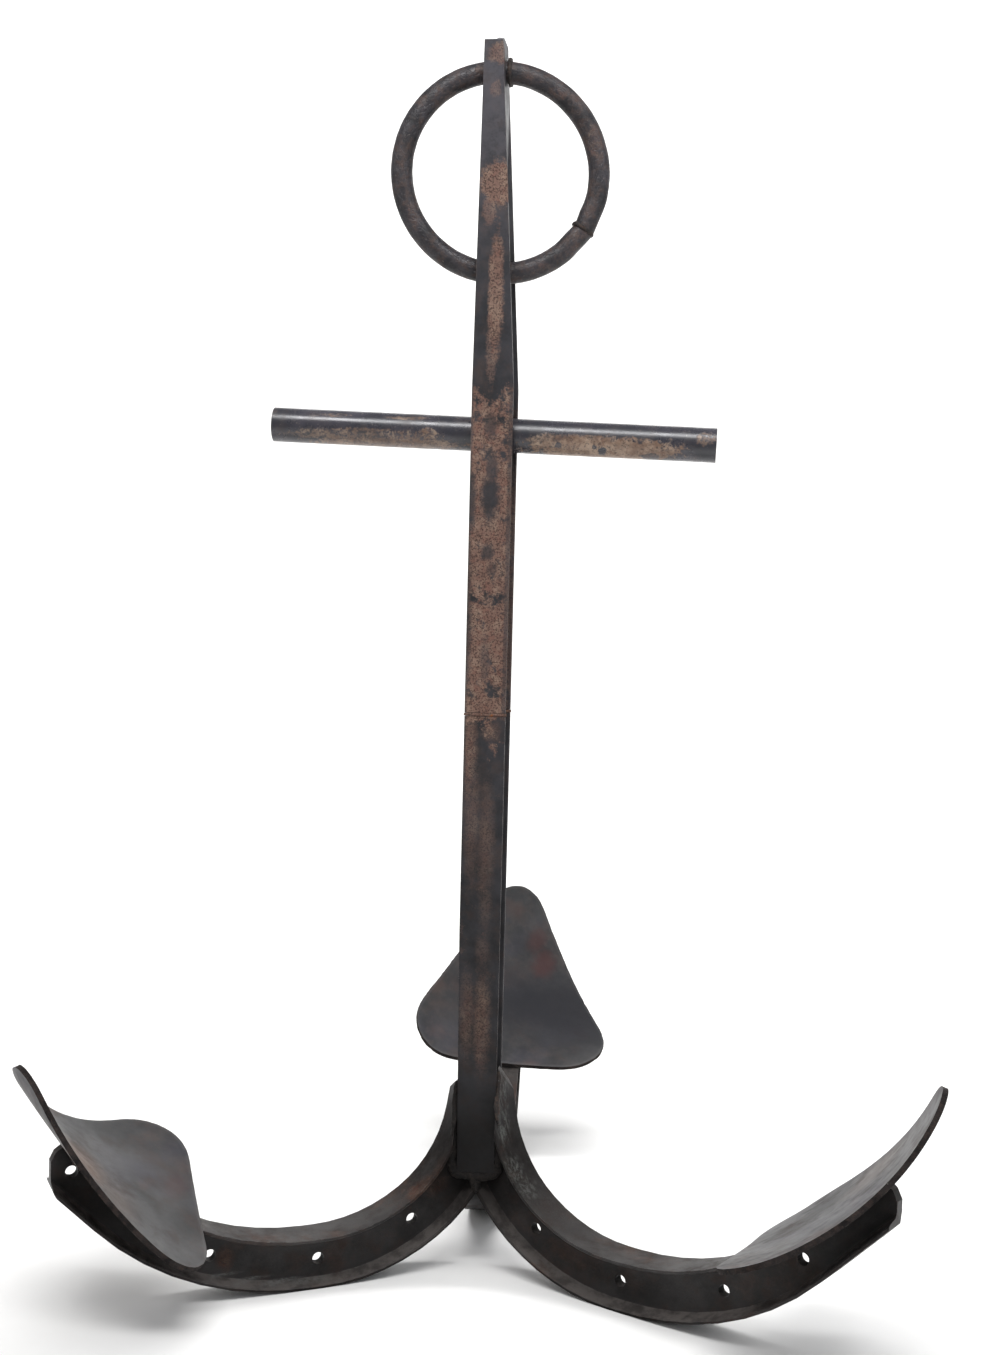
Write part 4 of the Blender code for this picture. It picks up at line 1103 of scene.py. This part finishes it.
# %% [markdown]
# ## The weld beads
#
# The solids of the beads are plain round fillets. Remeshing gives each an even skin of small faces, and two
# Displace modifiers with cloud textures raise lumps and ripples on it. A displaced bead keeps its length and
# place, so it still lies in its joint.

# %% Roughen the beads
BEAD_GRID = 0.0011
CLOUD_LEVEL = 0.55  # brighter clouds than this raise the skin, and darker ones sink it
CLOUDS = (("weld_lumps", 0.009, 2, 0.0018), ("weld_ripples", 0.0032, 1, 0.0009))  # size, depth, height
for title, size, depth, height in CLOUDS:
    clouds = bpy.data.textures.new(title, "CLOUDS")
    clouds.noise_scale = size
    clouds.noise_depth = depth

beads = sorted(name for name in nodes if "weld" in name or "seam" in name)
for name in beads:
    bead = nodes[name]
    metal, lift = weld_slag, 1.0
    if name == "splice_weld":
        metal, lift = splice_rust, 0.35  # it was ground back nearly flush
    # the beads at the crown are painted near-black as shade
    elif "crown_seam" in name or name == "crown_weld_left":
        metal = crown_shade
    for slot in bead.material_slots:
        slot.material = metal
    even = bead.modifiers.new("even_skin", "REMESH")
    even.mode = "VOXEL"
    even.voxel_size = BEAD_GRID
    even.use_smooth_shade = True
    for title, size, depth, height in CLOUDS:
        bumps = bead.modifiers.new(title, "DISPLACE")
        bumps.texture = bpy.data.textures[title]
        bumps.texture_coords = "LOCAL"
        bumps.strength = height * lift
        bumps.mid_level = CLOUD_LEVEL
print("beads:", len(beads))

# %% [markdown]
# At the crown the foot of the shank is welded all round, and the joint is buried in a bead painted near-black
# as shade. This bead is swept along a path: down one side of the front flange, under its foot and up the
# other side. A second, short one runs down to the seam where the two front arms meet. A smooth curve is
# drawn through each path's points, and cut into short, even steps.

# %% The paths of the foot's beads
BEAD_Y = FRONT_Y + 0.0088
FOOT_PATH = [  # right of the shank's axis, behind BEAD_Y, height, radius
    (-0.0300, 0.004, 0.256, 0.0036), (-0.0301, 0.003, 0.230, 0.0052), (-0.0319, 0.0, 0.205, 0.0064),
    (-0.0350, 0.0, 0.180, 0.0078), (-0.0355, 0.0, 0.160, 0.0095), (-0.0285, 0.0, 0.147, 0.0100),
    (-0.0150, 0.0, 0.144, 0.0096), (0.0030, 0.0, 0.143, 0.0100), (0.0200, 0.0, 0.1445, 0.0096),
    (0.0300, 0.0, 0.148, 0.0100), (0.0350, 0.0, 0.160, 0.0095), (0.0345, 0.0, 0.180, 0.0078),
    (0.0340, 0.0, 0.200, 0.0062), (0.0332, 0.0, 0.232, 0.0035),
]
ROOT_PATH = [
    (-0.0030, 0.002, 0.146, 0.0100), (0.0010, 0.0, 0.134, 0.0095),
    (0.0035, -0.001, 0.123, 0.0075), (0.0035, 0.0, 0.114, 0.0045),
]
BEAD_STEP = 0.0016


def along_path(path):
    """Evenly spaced points and radii on a smooth curve through a path's points."""
    points = [Vector((SHANK_X + x, BEAD_Y + y, z)) for x, y, z, radius in path]
    radii = [radius for x, y, z, radius in path]
    stations = []
    last = len(path) - 1
    for i in range(last):
        p0, p1, p2, p3 = (points[min(max(k, 0), last)] for k in (i - 1, i, i + 1, i + 2))
        count = max(2, round((p2 - p1).length / BEAD_STEP))
        for k in range(count + (i == last - 1)):
            t = k / count
            point = 0.5 * (2 * p1 + (p2 - p0) * t + (2 * p0 - 5 * p1 + 4 * p2 - p3) * t ** 2
                           + (3 * p1 - p0 - 3 * p2 + p3) * t ** 3)
            stations.append((point, radii[i] + (radii[i + 1] - radii[i]) * t))
    return stations


print("steps along the foot's bead:", len(along_path(FOOT_PATH)))

# %% [markdown]
# A loop of points stands square to the path at every step, and noise swells and pinches it. The loops are
# then skinned in the same way as the ring's bar, and the two ends are closed.

# %% Bury the foot of the shank
BEAD_SIDES = 16
BEAD_SHARP = math.radians(75)
SWELL, SWELL_GRAIN = 0.22, 130
PINCH, PINCH_GRAIN = 0.08, 420


def lumpy_bead(name, path):
    """A closed bead swept along a path, with lumps and ripples."""
    bm = bmesh.new()
    stations = along_path(path)
    loops = []
    for i, (point, radius) in enumerate(stations):
        ahead = stations[min(i + 1, len(stations) - 1)][0] - stations[max(i - 1, 0)][0]
        side = ahead.cross(Vector((0, 1, 0))).normalized()
        up = side.cross(ahead).normalized()
        loop = []
        for j in range(BEAD_SIDES):
            turn = 2 * math.pi * j / BEAD_SIDES
            out = side * math.cos(turn) + up * math.sin(turn)
            swell = 1 + SWELL * noise.noise((point + out * radius) * SWELL_GRAIN)
            swell += PINCH * noise.noise(point * PINCH_GRAIN)
            loop.append(bm.verts.new(point + out * radius * swell))
        loops.append(loop)
    for loop in (loops[0], loops[-1]):
        bm.faces.new(loop)
    join_loops(bm, loops)
    soften(bm, BEAD_SHARP)
    return put(name, close_mesh(name, bm), crown_shade, "weld_metal")


for name, path in (("crown_foot_bead", FOOT_PATH), ("crown_root_bead", ROOT_PATH)):
    print(name, "faces:", len(lumpy_bead(name, path).data.polygons))

# %% [markdown]
# ## The floor
#
# A pale, slightly mottled floor curves up behind like a sheet of paper. It isn't part of the anchor.

# %% The floor
FLOOR_HALF = 7.0
tree = begin("studio_floor")
shade = spots(tree, 3.0, 0.6, 0.3, 0.7)
colour = blend(shade, (0.77, 0.765, 0.75), (0.80, 0.795, 0.785))
finish("studio_floor", colour, 0.7, shade, 0.05)
bm = bmesh.new()
profile = [(-FLOOR_HALF, 0.0), (3.0, 0.0), (3.6, 0.08), (4.1, 0.32), (4.45, 0.75), (4.6, 1.4), (4.6, 6.0)]
columns = [[bm.verts.new((x, y, z)) for y, z in profile] for x in (-FLOOR_HALF, FLOOR_HALF)]
for i in range(len(profile) - 1):
    bm.faces.new((columns[0][i], columns[1][i], columns[1][i + 1], columns[0][i + 1]))
soften(bm, math.pi)
floor = new_object("studio_floor", close_mesh("studio_floor", bm))
dress(floor, bpy.data.materials["studio_floor"])
print("floor width", 2 * FLOOR_HALF)
